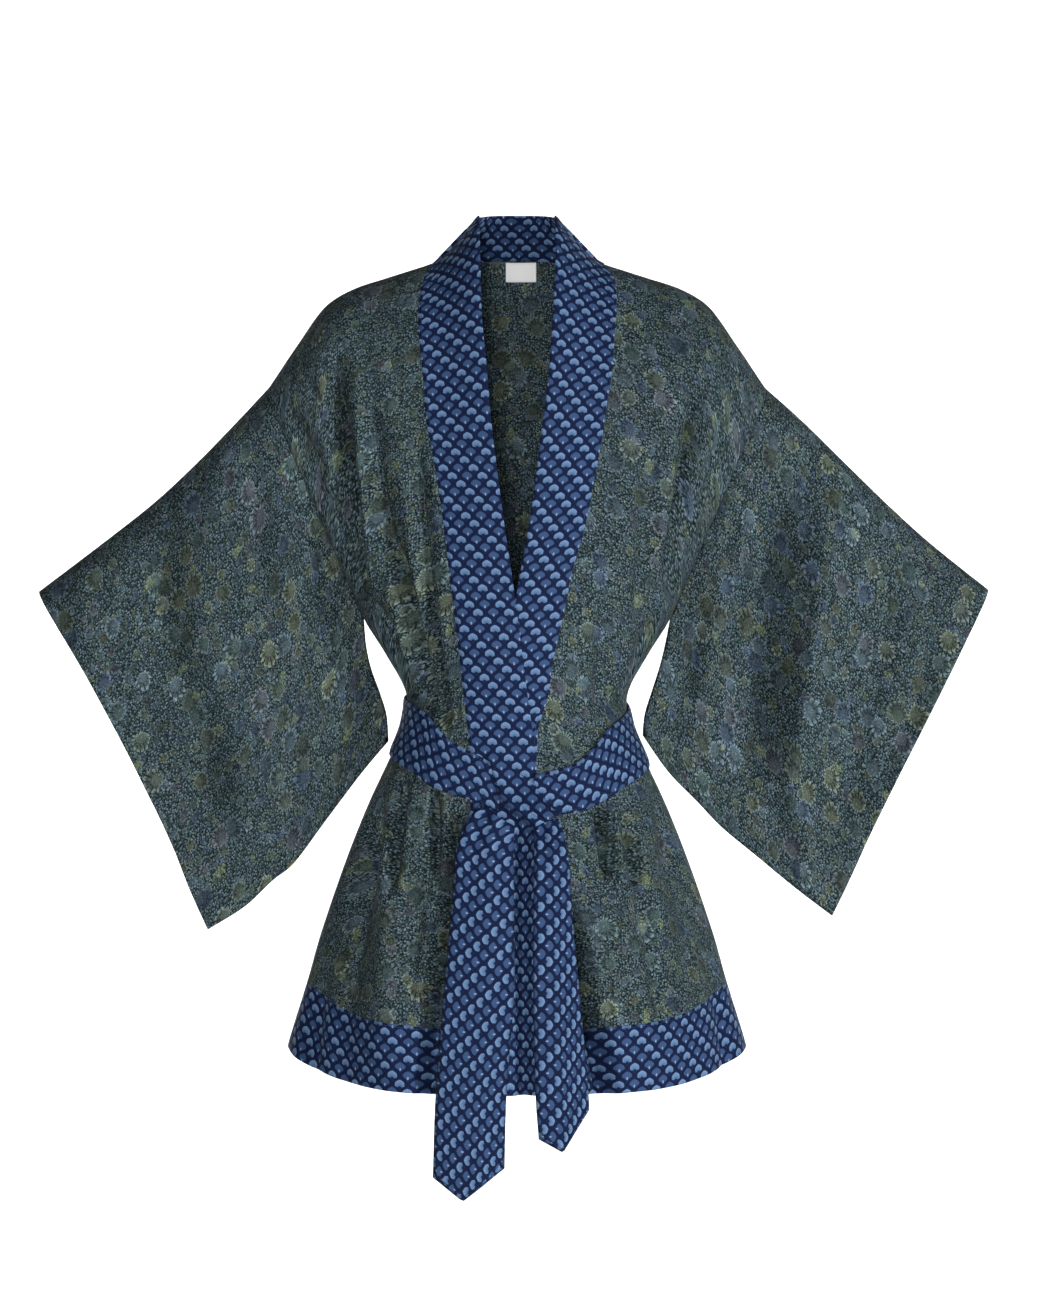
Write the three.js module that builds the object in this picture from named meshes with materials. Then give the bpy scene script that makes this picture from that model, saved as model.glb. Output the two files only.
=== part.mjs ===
// A short belted kimono jacket, worn and hollow: straight-cut body, wide hanging sleeves sewn on
// below the shoulder, a contrasting neckband from hem to hem, hem bands and a tied cloth belt.
// Millimetres, +Z up. The front faces -Y and the wearer's left is +X. The origin is the middle of
// the shoulder line, level with the two points where the neckband crosses the shoulders.
import * as THREE from "three";

// Driving dimensions
const CLOTH = 1.6; // wall of the printed body cloth
const BAND_CLOTH = 2; // neckband and hem bands, sewn double
const BELT_CLOTH = 2.2; // belt, a flat tube of cloth
const LABEL_CLOTH = 0.8;
const LABEL_CLEAR = 1.7; // behind the label, where the back curves away from it
const SEAM = 0.3; // space left between sewn pieces
const SLEEVE_SEAM = 0.4; // and between a sleeve and its armhole
const NECK_HALF = 86; // half the neck hole, at the seam of the neckband
const NECK_BACK = 78; // how far the back neck seam lies behind the shoulder line
const NECK_RISE = 12; // height of the back neck seam at the centre back
const NECK_POINT_Z = -1.5; // height of the seam where it crosses the shoulder line
const BAND_EDGE_HALF = 39.5; // the neckband's free edge at the shoulder line
const BAND_EDGE_Z = 47;
const BAND_EDGE_BACK = 42; // and at the centre back, where it stands behind the neck
const BAND_EDGE_BACK_Z = 53;
const ARMHOLE_Z = -130; // top of the armhole seam, on the shoulder ridge
const UNDERARM_Z = -364;
const ARM_HALF = 52; // half the thickness of the arm, front to back
const ROUND = 2.2; // 2 makes every ring of the body an ellipse, more makes it squarer
const LAP = 3.4; // how far the right front is lifted where it laps over the left one
const BELT_LIFT = 6.8; // outer face of the belt over the front bands
const BELT_SIDE_LIFT = 4.2; // and at the sides and back
const TIE_LIFT = 7.8; // outer face of the hanging belt ends over the front bands

// The top of the garment from the front: neckband at the neck, then the shoulder down to the armhole
const RIDGE = [
  { x: 0, z: 62 },
  { x: BAND_EDGE_HALF, z: BAND_EDGE_Z },
  { x: 53, z: 30 },
  { x: 67, z: 13 },
  { x: 76, z: 4.5 },
  { x: NECK_HALF, z: NECK_POINT_Z },
  { x: 110, z: -9.5 },
  { x: 135, z: -17.5 },
  { x: 160, z: -25.5 },
  { x: 180, z: -35 },
  { x: 195, z: -46 },
  { x: 207, z: -61 },
  { x: 219, z: -79 },
  { x: 232, z: -98 },
  { x: 246, z: -119 },
  { x: 254, z: -130 },
  { x: 280, z: -153 },
];
// Half the width of the body: the armhole seam down to the underarm, then the side seam to the hem
const SIDE = [
  { z: 40, half: 322 },
  { z: -130, half: 254 },
  { z: -250, half: 204 },
  { z: -364, half: 156 },
  { z: -400, half: 134 },
  { z: -440, half: 113 },
  { z: -470, half: 115 },
  { z: -500, half: 127 },
  { z: -554, half: 152 },
  { z: -612, half: 175 },
  { z: -685, half: 200 },
  { z: -731, half: 213 },
  { z: -796, half: 233 },
  { z: -826, half: 240 },
];
// The centre front and the centre back from the side, as distances from the plane of the side seams
const CENTRE_FRONT = [
  { z: -364, depth: 117 },
  { z: -430, depth: 111 },
  { z: -490, depth: 101 },
  { z: -545, depth: 97 },
  { z: -600, depth: 108 },
  { z: -700, depth: 128 },
  { z: -824, depth: 145 },
  { z: -940, depth: 145 },
];
const CENTRE_BACK = [
  { z: -364, depth: 104 },
  { z: -420, depth: 94 },
  { z: -465, depth: 87 },
  { z: -520, depth: 100 },
  { z: -600, depth: 122 },
  { z: -700, depth: 138 },
  { z: -824, depth: 150 },
];
// The neckband down each front: x of its seam and of its free edge at the height of the seam, and how
// much higher the free edge lies, because the band turns round the neck
const RIGHT_BAND = [
  { z: NECK_POINT_Z, seam: -NECK_HALF, edge: -BAND_EDGE_HALF, lead: BAND_EDGE_Z - NECK_POINT_Z },
  { z: -16, seam: -92, edge: -38.5, lead: 38 },
  { z: -34, seam: -95.5, edge: -37.5, lead: 28 },
  { z: -75, seam: -96.5, edge: -35.7, lead: 14 },
  { z: -126, seam: -91, edge: -30.5, lead: 8 },
  { z: -169, seam: -87.7, edge: -26.5, lead: 4 },
  { z: -200, seam: -81.7, edge: -22.6, lead: 0 },
  { z: -261, seam: -71.7, edge: -14.7, lead: 0 },
  { z: -321, seam: -63.8, edge: -5.9, lead: 0 },
  { z: -365, seam: -57.9, edge: 0, lead: 0 },
  { z: -435, seam: -50, edge: 8.8, lead: 0 },
  { z: -489, seam: -44.3, edge: 15.7, lead: 0 },
  { z: -524, seam: -43.5, edge: 15.8, lead: 0 },
  { z: -830, seam: -43, edge: 16.2, lead: 0 },
];
const LEFT_BAND = [
  { z: NECK_POINT_Z, seam: NECK_HALF, edge: BAND_EDGE_HALF, lead: BAND_EDGE_Z - NECK_POINT_Z },
  { z: -16, seam: 96, edge: 40, lead: 38 },
  { z: -34, seam: 99, edge: 39.5, lead: 28 },
  { z: -81, seam: 95.5, edge: 36.2, lead: 14 },
  { z: -115, seam: 93, edge: 33.6, lead: 9 },
  { z: -148, seam: 87.8, edge: 30, lead: 5 },
  { z: -190, seam: 81.7, edge: 23.6, lead: 0 },
  { z: -231, seam: 73.7, edge: 18.7, lead: 0 },
  { z: -271, seam: 65.8, edge: 12.8, lead: 0 },
  { z: -321, seam: 52, edge: 3.9, lead: 0 },
  { z: -365, seam: 43, edge: -5, lead: 0 },
  { z: -408, seam: 33.4, edge: -15, lead: 0 },
  { z: -443, seam: 28.5, edge: -26, lead: 0 },
  { z: -470, seam: 20, edge: -34, lead: 0 },
  { z: -506, seam: 17.5, edge: -40, lead: 0 },
  { z: -830, seam: 18.5, edge: -41, lead: 0 },
];
// Where the hem bands begin and end at the centre and at the side seams
const HEM = {
  seam: { centre: -765, side: -732 },
  foot: { centre: -828, side: -797 },
};
// The belt's middle line by the angle round the body from the centre front, 0, to the centre back,
// 180, on the wearer's right and left, and half its width there
const BELT = [
  { angle: 0, right: -543, left: -545, half: 22 },
  { angle: 16, right: -523, left: -537, half: 22 },
  { angle: 26, right: -515, left: -531, half: 23 },
  { angle: 37, right: -505, left: -518, half: 25 },
  { angle: 52, right: -487, left: -501, half: 28 },
  { angle: 90, right: -472, left: -482, half: 28 },
  { angle: 135, right: -462, left: -466, half: 28 },
  { angle: 180, right: -460, left: -460, half: 28 },
];
const BELT_START = 7; // degrees from the centre front at which each belt end goes under the knot
// The two hanging ends of the belt: left and right edges by height, and the shape of the cut end
const LONG_TIE = {
  top: { left: -549, right: -571 },
  edges: [
    { z: -549, left: -35, right: -2 },
    { z: -566, left: -47, right: -2 },
    { z: -591, left: -57.6, right: -3 },
    { z: -622, left: -60, right: -3 },
    { z: -724, left: -69, right: -2.5 },
    { z: -824, left: -77, right: -9.7 },
    { z: -905, left: -80, right: -12 },
  ],
  end: { left: -907, point: -930, right: -898, at: 0.43 },
};
const SHORT_TIE = {
  top: { left: -571, right: -564 },
  edges: [
    { z: -564, left: 16.6, right: 41 },
    { z: -604, left: 16, right: 48 },
    { z: -638, left: 15.6, right: 50.6 },
    { z: -724, left: 15.5, right: 58 },
    { z: -824, left: 17.4, right: 66.7 },
    { z: -866, left: 20.3, right: 68 },
  ],
  end: { left: -868, point: -881, right: -841, at: 0.47 },
};
// The knot: the part of the belt that wraps over both ends, from upper right to lower left of the wearer
const KNOT = {
  from: { x: -29, z: -522 },
  to: { x: 33, z: -569 },
  half: 21,
  under: 9.4, // its inner face over the body form, clear of the belt and the ties
  thin: 3,
  thick: 15,
  bow: 0.12, // longer along its middle, by this part of its length
  pinch: 0.18, // and narrower at half its length, by this part of its width
  flat: 0.35, // part of its bulge that is left at its ends
  crease: { at: 0.62, width: 0.1, depth: 0.22 },
};
const LABEL = { left: -12, right: 20.5, top: 9, bottom: -10.5 };
// Half the thickness of a sleeve, at its armhole end and at its cuff: over the arm, and in the part
// that hangs folded below it
const SLEEVE_HALF = { arm: { armhole: 42, cuff: 33 }, fold: { armhole: 7, cuff: 9 } };
// The outline of each sleeve from the front, from the armhole outwards and downwards
const SLEEVES = {
  right: {
    ridge: [[254, -130], [284, -162], [325, -204], [369, -245], [421, -286], [487, -336]],
    cuff: [[487, -336], [439, -412], [398, -489], [352, -590], [333, -639], [315, -681]],
    bottom: [[131, -489], [158, -521], [195, -570], [227, -613], [249, -631], [278, -658], [315, -681]],
    slit: [[156, -364], [154, -390], [149, -414], [140, -439], [133, -462], [131, -489]],
  },
  left: {
    ridge: [[254, -130], [290, -162], [333, -204], [375, -245], [420, -286], [480, -334]],
    cuff: [[480, -334], [446, -398], [403, -488], [365, -569], [338, -630], [321, -667]],
    bottom: [[128, -483], [154, -520], [184, -551], [209, -577], [244, -606], [283.5, -638.5], [321, -667]],
    slit: [[156, -364], [151, -390], [145, -414], [137, -439], [130, -462], [128, -483]],
  },
};

// Folds: a soft trough (negative depth) or ridge along a line, in x and z, that fades at both ends
const RIGHT_FRONT_FOLDS = [
  { x1: -184, z1: -78, x2: -160, z2: -345, width: 15, depth: -7 },
  { x1: -150, z1: -120, x2: -112, z2: -400, width: 15, depth: -7 },
  { x1: -112, z1: -240, x2: -86, z2: -450, width: 14, depth: -6 },
  { x1: -118, z1: -535, x2: -170, z2: -815, width: 17, depth: -9 },
  { x1: -85, z1: -548, x2: -98, z2: -815, width: 13, depth: -7 },
  { x1: -105, z1: -545, x2: -134, z2: -815, width: 13, depth: 6 },
];
const LEFT_FRONT_FOLDS = [
  { x1: 182, z1: -110, x2: 152, z2: -350, width: 16, depth: -7 },
  { x1: 140, z1: -180, x2: 110, z2: -430, width: 16, depth: -6 },
  { x1: 98, z1: -280, x2: 82, z2: -470, width: 14, depth: -5 },
  { x1: 84, z1: -560, x2: 84, z2: -815, width: 14, depth: -7 },
  { x1: 112, z1: -550, x2: 158, z2: -815, width: 18, depth: 7 },
  { x1: 122, z1: -540, x2: 212, z2: -815, width: 16, depth: -8 },
];
const BACK_FOLDS = [
  { x1: -190, z1: -90, x2: -150, z2: -350, width: 14, depth: -7 },
  { x1: -120, z1: -180, x2: -95, z2: -430, width: 16, depth: -7 },
  { x1: -52, z1: -230, x2: -42, z2: -425, width: 15, depth: -6 },
  { x1: 18, z1: -200, x2: 14, z2: -425, width: 17, depth: -5 },
  { x1: 78, z1: -210, x2: 66, z2: -425, width: 15, depth: -7 },
  { x1: 132, z1: -150, x2: 104, z2: -430, width: 15, depth: -6 },
  { x1: 188, z1: -95, x2: 152, z2: -345, width: 13, depth: -6 },
  { x1: -104, z1: -505, x2: -186, z2: -815, width: 19, depth: -9 },
  { x1: -66, z1: -500, x2: -104, z2: -815, width: 20, depth: -10 },
  { x1: -18, z1: -500, x2: -30, z2: -815, width: 20, depth: -9 },
  { x1: 28, z1: -500, x2: 44, z2: -815, width: 19, depth: -10 },
  { x1: 74, z1: -502, x2: 118, z2: -815, width: 20, depth: -9 },
  { x1: 110, z1: -508, x2: 190, z2: -815, width: 18, depth: -9 },
];
const SLEEVE_FRONT_FOLDS = [
  { x1: 268, z1: -170, x2: 236, z2: -520, width: 26, depth: -7 },
  { x1: 318, z1: -225, x2: 268, z2: -590, width: 26, depth: 7 },
  { x1: 385, z1: -285, x2: 318, z2: -610, width: 28, depth: -6 },
];
const SLEEVE_BACK_FOLDS = [
  { x1: 276, z1: -180, x2: 240, z2: -510, width: 26, depth: 7 },
  { x1: 330, z1: -235, x2: 276, z2: -590, width: 27, depth: -8 },
  { x1: 400, z1: -300, x2: 330, z2: -600, width: 28, depth: 6 },
];

// How finely each sheet is divided
const RIDGE_STEPS = 12; // along the shoulder and across each front
const NECK_STEPS = 5; // from the neck point to the centre back
const UPPER_ROWS = 11; // from the shoulder to the underarm
const LOWER_ROWS = 13; // from the underarm to the hem seam
const HEM_ROWS = 2;
const BAND_STEPS = 3;
const SLIT_STEPS = 5; // from the underarm to the sleeve's inner corner
const SLEEVE_STEPS = 9; // from the armhole to the cuff
const BELT_STEPS = 42;
const BELT_ACROSS = 3;
const TIE_STEPS = 15;
const TIE_ACROSS = 4;

const PRINTED = { color: 0x2f3d3f, roughness: 0.85, metalness: 0 };
const NAVY = { color: 0x24426f, roughness: 0.8, metalness: 0 };
const WHITE = { color: 0xf2f2ee, roughness: 0.7, metalness: 0 };

const kimono = new THREE.Group();

// Small functions on numbers
const mix = THREE.MathUtils.lerp;
const clamp = THREE.MathUtils.clamp;
const radians = THREE.MathUtils.degToRad;
const ease = (from, to, value) => THREE.MathUtils.smoothstep(value, from, to);
const steps = (count) => Array.from({ length: count + 1 }, (_, i) => i / count);

// The smooth line through one column of a table, by another column
function smooth(table, key, value) {
  const rows = [...table].sort((a, b) => a[key] - b[key]);
  const last = rows.length - 1;
  const slope = (i) => {
    const a = rows[Math.max(i - 1, 0)];
    const b = rows[Math.min(i + 1, last)];
    return (b[value] - a[value]) / (b[key] - a[key]);
  };
  return (at) => {
    const next = rows.findIndex((row) => row[key] >= at);
    if (next === 0) return rows[0][value] + slope(0) * (at - rows[0][key]);
    if (next < 0) return rows[last][value] + slope(last) * (at - rows[last][key]);
    const a = rows[next - 1];
    const b = rows[next];
    const span = b[key] - a[key];
    const t = (at - a[key]) / span;
    const bend = (2 * t - 3) * t * t;
    return (
      a[value] * (1 + bend) -
      b[value] * bend +
      span * (slope(next - 1) * t * (1 - t) ** 2 - slope(next) * t * t * (1 - t))
    );
  };
}

const ridgeZ = smooth(RIDGE, "x", "z");
const sideX = smooth(SIDE, "z", "half");
const neckline = (x) => mix(NECK_RISE, NECK_POINT_Z, (x / NECK_HALF) ** 2);
const neckDepth = (x) => NECK_BACK * Math.sqrt(Math.max(0, 1 - (x / NECK_HALF) ** 2));
const inNeck = (x) => Math.abs(x) < NECK_HALF;

// The two faces of the worn form. sign: which way it faces; top and start: where it begins
const FRONT = {
  sign: -1,
  centre: smooth(CENTRE_FRONT, "z", "depth"),
  top: (x) => ridgeZ(Math.abs(x)),
  start: () => 0,
  turn: () => 0.5,
};
const BACK = {
  sign: 1,
  centre: smooth(CENTRE_BACK, "z", "depth"),
  top: (x) => (inNeck(x) ? neckline(x) : ridgeZ(Math.abs(x))),
  start: (x) => (inNeck(x) ? neckDepth(x) : 0),
  turn: (x) => mix(1, 0.5, ease(0.3, 1, Math.abs(x) / NECK_HALF)),
};

// Thickness of the arm by the way p down the armhole, 1 at most: round over the top and nothing at
// the underarm
const armLens = (p) => 2.8 * Math.sqrt(p) * (1 - p) ** 1.2;

// How far the worn form lies in front of, or behind, the plane of the side seams
function depth(x, z, face) {
  const across = Math.min(Math.abs(x) / sideX(z), 1);
  const ring = 1 - across ** ROUND;
  if (z <= UNDERARM_Z) return face.centre(z) * ring ** (1 / ROUND);
  const p = clamp((face.top(x) - z) / (face.top(x) - UNDERARM_Z), 0, 1);
  const fullness = mix(1, 1 / ROUND, ease(0.55, 1, p));
  const chest = face.centre(UNDERARM_Z) * ring ** fullness;
  const rise = (p * (2 - p)) ** face.turn(x);
  return mix(face.start(x), chest, rise) + ARM_HALF * ease(0.25, 1, across) * armLens(p);
}

// The outward direction of the form, from small steps towards its inside. All sheets that meet at a
// neck point are cut square to the shoulder there.
function outward(x, z, face) {
  const STEP = 0.05;
  const neckPoint = Math.abs(Math.abs(x) - NECK_HALF) < 2 * SEAM && z > NECK_POINT_Z - SEAM;
  if (neckPoint) return new THREE.Vector3(Math.sign(x) * 0.3, 0, 1).normalize();
  const here = depth(x, z, face);
  const inner = x - Math.sign(x) * STEP;
  const slopeX = x === 0 ? 0 : (depth(inner, z, face) - here) / (inner - x);
  const below = depth(x, z - STEP, face);
  const slopeZ = below > 0 ? (here - below) / STEP : (depth(x, z + STEP, face) - here) / STEP;
  return new THREE.Vector3(-slopeX, face.sign, -slopeZ).normalize();
}

// A point of the form, half a seam away from the plane that the front and the back share
function onForm(x, z, face) {
  const y = face.sign * (depth(x, z, face) + SEAM / 2);
  return { at: new THREE.Vector3(x, y, z), out: outward(x, z, face) };
}

// The same point moved out by a distance
const lifted = (point, distance) => ({
  at: point.at.clone().addScaledVector(point.out, distance),
  out: point.out,
});

// The depth of all folds of a table at one place, weaker near the belt, which holds the cloth flat
function foldAt(folds, x, z) {
  let sum = 0;
  for (const fold of folds) {
    const dx = fold.x2 - fold.x1;
    const dz = fold.z2 - fold.z1;
    const along = ((x - fold.x1) * dx + (z - fold.z1) * dz) / (dx * dx + dz * dz);
    const near = clamp(along, 0, 1);
    const off = Math.hypot(x - fold.x1 - near * dx, z - fold.z1 - near * dz) / fold.width;
    const length = Math.min(1, 4 * near, 5 * (1 - near) + (fold.z2 < HEM.seam.side ? 1 : 0));
    sum += fold.depth * length * Math.exp(-off * off);
  }
  return sum;
}
const beltZ = {
  right: smooth(BELT, "angle", "right"),
  left: smooth(BELT, "angle", "left"),
  half: smooth(BELT, "angle", "half"),
};
const angleOf = (x, z, face) => {
  const sine = Math.min(Math.abs(x) / sideX(z), 1);
  const turn = THREE.MathUtils.radToDeg(Math.asin(sine));
  return face === FRONT ? turn : 180 - turn;
};
function clearOfBelt(x, z, face) {
  const angle = angleOf(x, z, face);
  const middle = (x < 0 ? beltZ.right : beltZ.left)(angle);
  return ease(beltZ.half(angle), beltZ.half(angle) + 38, Math.abs(z - middle));
}

// Closes sheets of cloth into one wall. Each grid is rows of points, the outer face of the cloth, and
// sheets are sewn where their points agree. A point without a direction gets one from its faces.
function wall(name, grids, thickness, finish) {
  const points = [];
  const numbers = new Map();
  const number = (point) => {
    const key = point.at.toArray().map((value) => Math.round(value * 500)).join();
    if (!numbers.has(key)) {
      numbers.set(key, points.length);
      points.push({ ...point, sum: new THREE.Vector3() });
    }
    return numbers.get(key);
  };
  const faces = [];
  for (const grid of grids) {
    for (let row = 0; row + 1 < grid.length; row++) {
      for (let i = 0; i + 1 < grid[row].length; i++) {
        const a = number(grid[row][i]);
        const b = number(grid[row][i + 1]);
        const c = number(grid[row + 1][i + 1]);
        const d = number(grid[row + 1][i]);
        if (a !== b && b !== c && c !== a) faces.push([a, c, b]);
        if (a !== c && c !== d && d !== a) faces.push([a, d, c]);
      }
    }
  }
  const normal = new THREE.Vector3();
  const side = new THREE.Vector3();
  for (const [a, b, c] of faces) {
    normal.subVectors(points[b].at, points[a].at);
    side.subVectors(points[c].at, points[a].at);
    normal.cross(side);
    for (const corner of [a, b, c]) points[corner].sum.add(normal);
  }
  const inner = points.map((point) => {
    const out = point.out ?? point.sum.clone().normalize();
    return point.at.clone().addScaledVector(out, -(point.thickness ?? thickness));
  });
  const open = new Map();
  for (const [a, b, c] of faces) {
    for (const [from, to] of [[a, b], [b, c], [c, a]]) {
      if (!open.delete(`${to},${from}`)) open.set(`${from},${to}`, [from, to]);
    }
  }
  const count = points.length;
  const triangles = [];
  for (const [a, b, c] of faces) triangles.push(a, b, c, count + c, count + b, count + a);
  for (const [from, to] of open.values()) {
    triangles.push(to, from, count + from, to, count + from, count + to);
  }
  const geometry = new THREE.BufferGeometry();
  const places = [...points.map((point) => point.at), ...inner].flatMap((place) => place.toArray());
  geometry.setAttribute("position", new THREE.Float32BufferAttribute(places, 3));
  geometry.setIndex(triangles);
  const mesh = new THREE.Mesh(geometry, new THREE.MeshStandardMaterial(finish));
  mesh.name = name;
  kimono.add(mesh);
}

// Turns a grid over, so that its faces point the other way
const turned = (grid) => grid.map((row) => [...row].reverse());

// Height of a line that is level across the middle and rises near the side seams
const levelLine = (line, across) => mix(line.centre, line.side, ease(0.62, 1, across));

// How far down the rows of the upper body lie: close together where the cloth turns over the shoulder
const upperRows = steps(UPPER_ROWS).map((t) => 1 - Math.cos(radians(90 * t)));
const lowerRows = steps(LOWER_ROWS);
const armhole = upperRows.map((p) => {
  const z = mix(ARMHOLE_Z, UNDERARM_Z, p);
  return [sideX(z), z];
});
const shoulder = steps(RIDGE_STEPS).map((t) => {
  const x = mix(NECK_HALF, armhole[0][0], t);
  return [x, ridgeZ(x)];
});

// A patch in x and z from its top and bottom lines, bowed to meet its inner and outer ones
function patch(top, bottom, inner, outer, fractions) {
  const last = top.length - 1;
  return fractions.map((p, row) =>
    top.map((start, i) => {
      const t = i / last;
      return [0, 1].map((k) => {
        const bowInner = inner[row][k] - mix(inner[0][k], inner.at(-1)[k], p);
        const bowOuter = outer[row][k] - mix(outer[0][k], outer.at(-1)[k], p);
        return mix(start[k], bottom[i][k], p) + (1 - t) * bowInner + t * bowOuter;
      });
    })
  );
}

// Places across one side at a given height line, from an inner x to the side seam, by equal angles
function acrossTo(line, innerX, count) {
  const level = (across) => (typeof line === "number" ? line : levelLine(line, across));
  const start = Math.asin(clamp(Math.abs(innerX) / sideX(level(0)), 0, 1));
  return steps(count).map((t) => {
    const across = Math.sin(mix(start, Math.PI / 2, t));
    return [across * sideX(level(across)), level(across)];
  });
}
const lineAt = (fraction) => ({
  centre: mix(UNDERARM_Z, HEM.seam.centre, fraction),
  side: mix(UNDERARM_Z, HEM.seam.side, fraction),
});
const hemLines = steps(HEM_ROWS).map((t) => ({
  centre: mix(HEM.seam.centre - SEAM, HEM.foot.centre, t),
  side: mix(HEM.seam.side - SEAM, HEM.foot.side, t),
}));

// The bands' columns
const bandLines = (table) => ({
  seam: smooth(table, "z", "seam"),
  edge: smooth(table, "z", "edge"),
  lead: smooth(table, "z", "lead"),
});
const rightBand = bandLines(RIGHT_BAND);
const leftBand = bandLines(LEFT_BAND);
const seamHeights = [
  ...upperRows.map((p) => mix(NECK_POINT_Z, UNDERARM_Z, p)),
  ...lowerRows.slice(1).map((f) => lineAt(f).centre),
];
// The right front laps over the left one: lifted at its band, and flat again away from it
const lapAt = (z) => LAP * ease(230, 330, -z);

// One front: from the neckband's seam to the armhole and side seam, over the shoulder to the hem band
function front(name, side, band, folds, laps) {
  const seam = seamHeights.map((z) => [Math.abs(band.seam(z)), z]);
  const under = acrossTo(UNDERARM_Z, seam[UPPER_ROWS][0], RIDGE_STEPS);
  const upper = patch(shoulder, under, seam.slice(0, UPPER_ROWS + 1), armhole, upperRows);
  const lower = lowerRows.slice(1).map((f, row) =>
    acrossTo(lineAt(f), seam[UPPER_ROWS + 1 + row][0], RIDGE_STEPS)
  );
  wall(name, [clothRows([...upper, ...lower], side, band, folds, laps)], CLOTH, PRINTED);
  const hem = hemLines.map((line) => acrossTo(line, Math.abs(band.seam(line.centre)), RIDGE_STEPS));
  const hemGrid = clothRows(hem, side, band, folds, laps);
  wall(name.replace("front", "hem_band"), [hemGrid], BAND_CLOTH, NAVY);
}

// Puts rows of places on one side of the front, with its folds and its lap
function clothRows(rows, side, band, folds, laps) {
  const grid = rows.map((row) =>
    row.map(([distance, z], i) => {
      const x = side * distance;
      const point = onForm(x, z, FRONT);
      const fromSeam = Math.abs(x - band.seam(z));
      const lap = laps ? lapAt(z) * (1 - ease(0, 70, fromSeam)) : 0;
      const free = ease(0, 22, fromSeam) * ease(0, 0.16, 1 - distance / sideX(z));
      const top = ease(8, 50, FRONT.top(x) - z);
      return lifted(point, lap + free * top * clearOfBelt(x, z, FRONT) * foldAt(folds, x, z));
    })
  );
  return side < 0 ? turned(grid) : grid;
}

// The back: one piece from side seam to side seam, cut out round the neck
function back() {
  const neck = steps(NECK_STEPS).map((t) => {
    const x = NECK_HALF * Math.sin(radians(90 * t));
    return [x, neckline(x)];
  });
  const top = [...neck, ...shoulder.slice(1)];
  const count = top.length - 1;
  const centre = upperRows.map((p) => [0, mix(NECK_RISE, UNDERARM_Z, p)]);
  const upper = patch(top, acrossTo(UNDERARM_Z, 0, count), centre, armhole, upperRows);
  const lower = lowerRows.slice(1).map((f) => acrossTo(lineAt(f), 0, count));
  const hem = hemLines.map((line) => acrossTo(line, 0, count));
  wall("back", [backRows([...upper, ...lower])], CLOTH, PRINTED);
  wall("hem_band_back", [backRows(hem)], BAND_CLOTH, NAVY);
}

function backRows(rows) {
  return rows.map((row) => {
    const whole = [...row.slice(1).reverse().map(([x, z]) => [-x, z]), ...row];
    return whole
      .map(([x, z]) => {
        const free = ease(0, 0.16, 1 - Math.abs(x) / sideX(z)) * ease(8, 60, BACK.top(x) - z);
        return lifted(onForm(x, z, BACK), free * clearOfBelt(x, z, BACK) * foldAt(BACK_FOLDS, x, z));
      })
      .reverse();
  });
}

// The neckband: up one front, round the back of the neck and down the other front
const bandHeights = [...seamHeights, ...hemLines.slice(1).map((line) => line.centre)];
function bandRow(band, z, row, lap) {
  const inward = -Math.sign(band.seam(-1)) * SEAM;
  const seam = { x: band.seam(z) + inward, z };
  const edge = { x: band.edge(z), z: z + band.lead(z) };
  return steps(BAND_STEPS).map((t) => {
    const x = mix(seam.x, edge.x, t);
    if (row === 0) {
      const out = t === 0 ? outward(x, ridgeZ(Math.abs(x)), FRONT) : undefined;
      return { at: new THREE.Vector3(x, 0, ridgeZ(Math.abs(x))), out };
    }
    const point = onForm(x, mix(seam.z, edge.z, t), FRONT);
    return lifted(point, lap ? lapAt(z) : 0);
  });
}
function neckRow(turn) {
  const sine = Math.sin(radians(turn));
  const cosine = Math.cos(radians(turn));
  const x = NECK_HALF * sine;
  const inside = x - Math.sign(x) * SEAM;
  const seam = new THREE.Vector3(inside, neckDepth(x) - SEAM * cosine, neckline(x) + SEAM);
  const edge = new THREE.Vector3(
    BAND_EDGE_HALF * Math.sign(sine) * Math.sqrt(Math.abs(sine)),
    BAND_EDGE_BACK * Math.sqrt(cosine),
    mix(BAND_EDGE_Z, BAND_EDGE_BACK_Z, cosine)
  );
  const behind = outward(x, neckline(x), BACK);
  return steps(BAND_STEPS).map((t) => ({
    at: new THREE.Vector3().lerpVectors(seam, edge, t),
    out: t === 0 ? behind : undefined,
  }));
}
function neckband() {
  const right = bandHeights.map((z, row) => bandRow(rightBand, z, row, true));
  const left = bandHeights.map((z, row) => bandRow(leftBand, z, row, false));
  const round = [];
  for (let i = 1; i < 2 * NECK_STEPS; i++) round.push(neckRow(-90 + (90 * i) / NECK_STEPS));
  wall("neckband", [turned([...right.reverse(), ...round, ...left])], BAND_CLOTH, NAVY);
}

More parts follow.
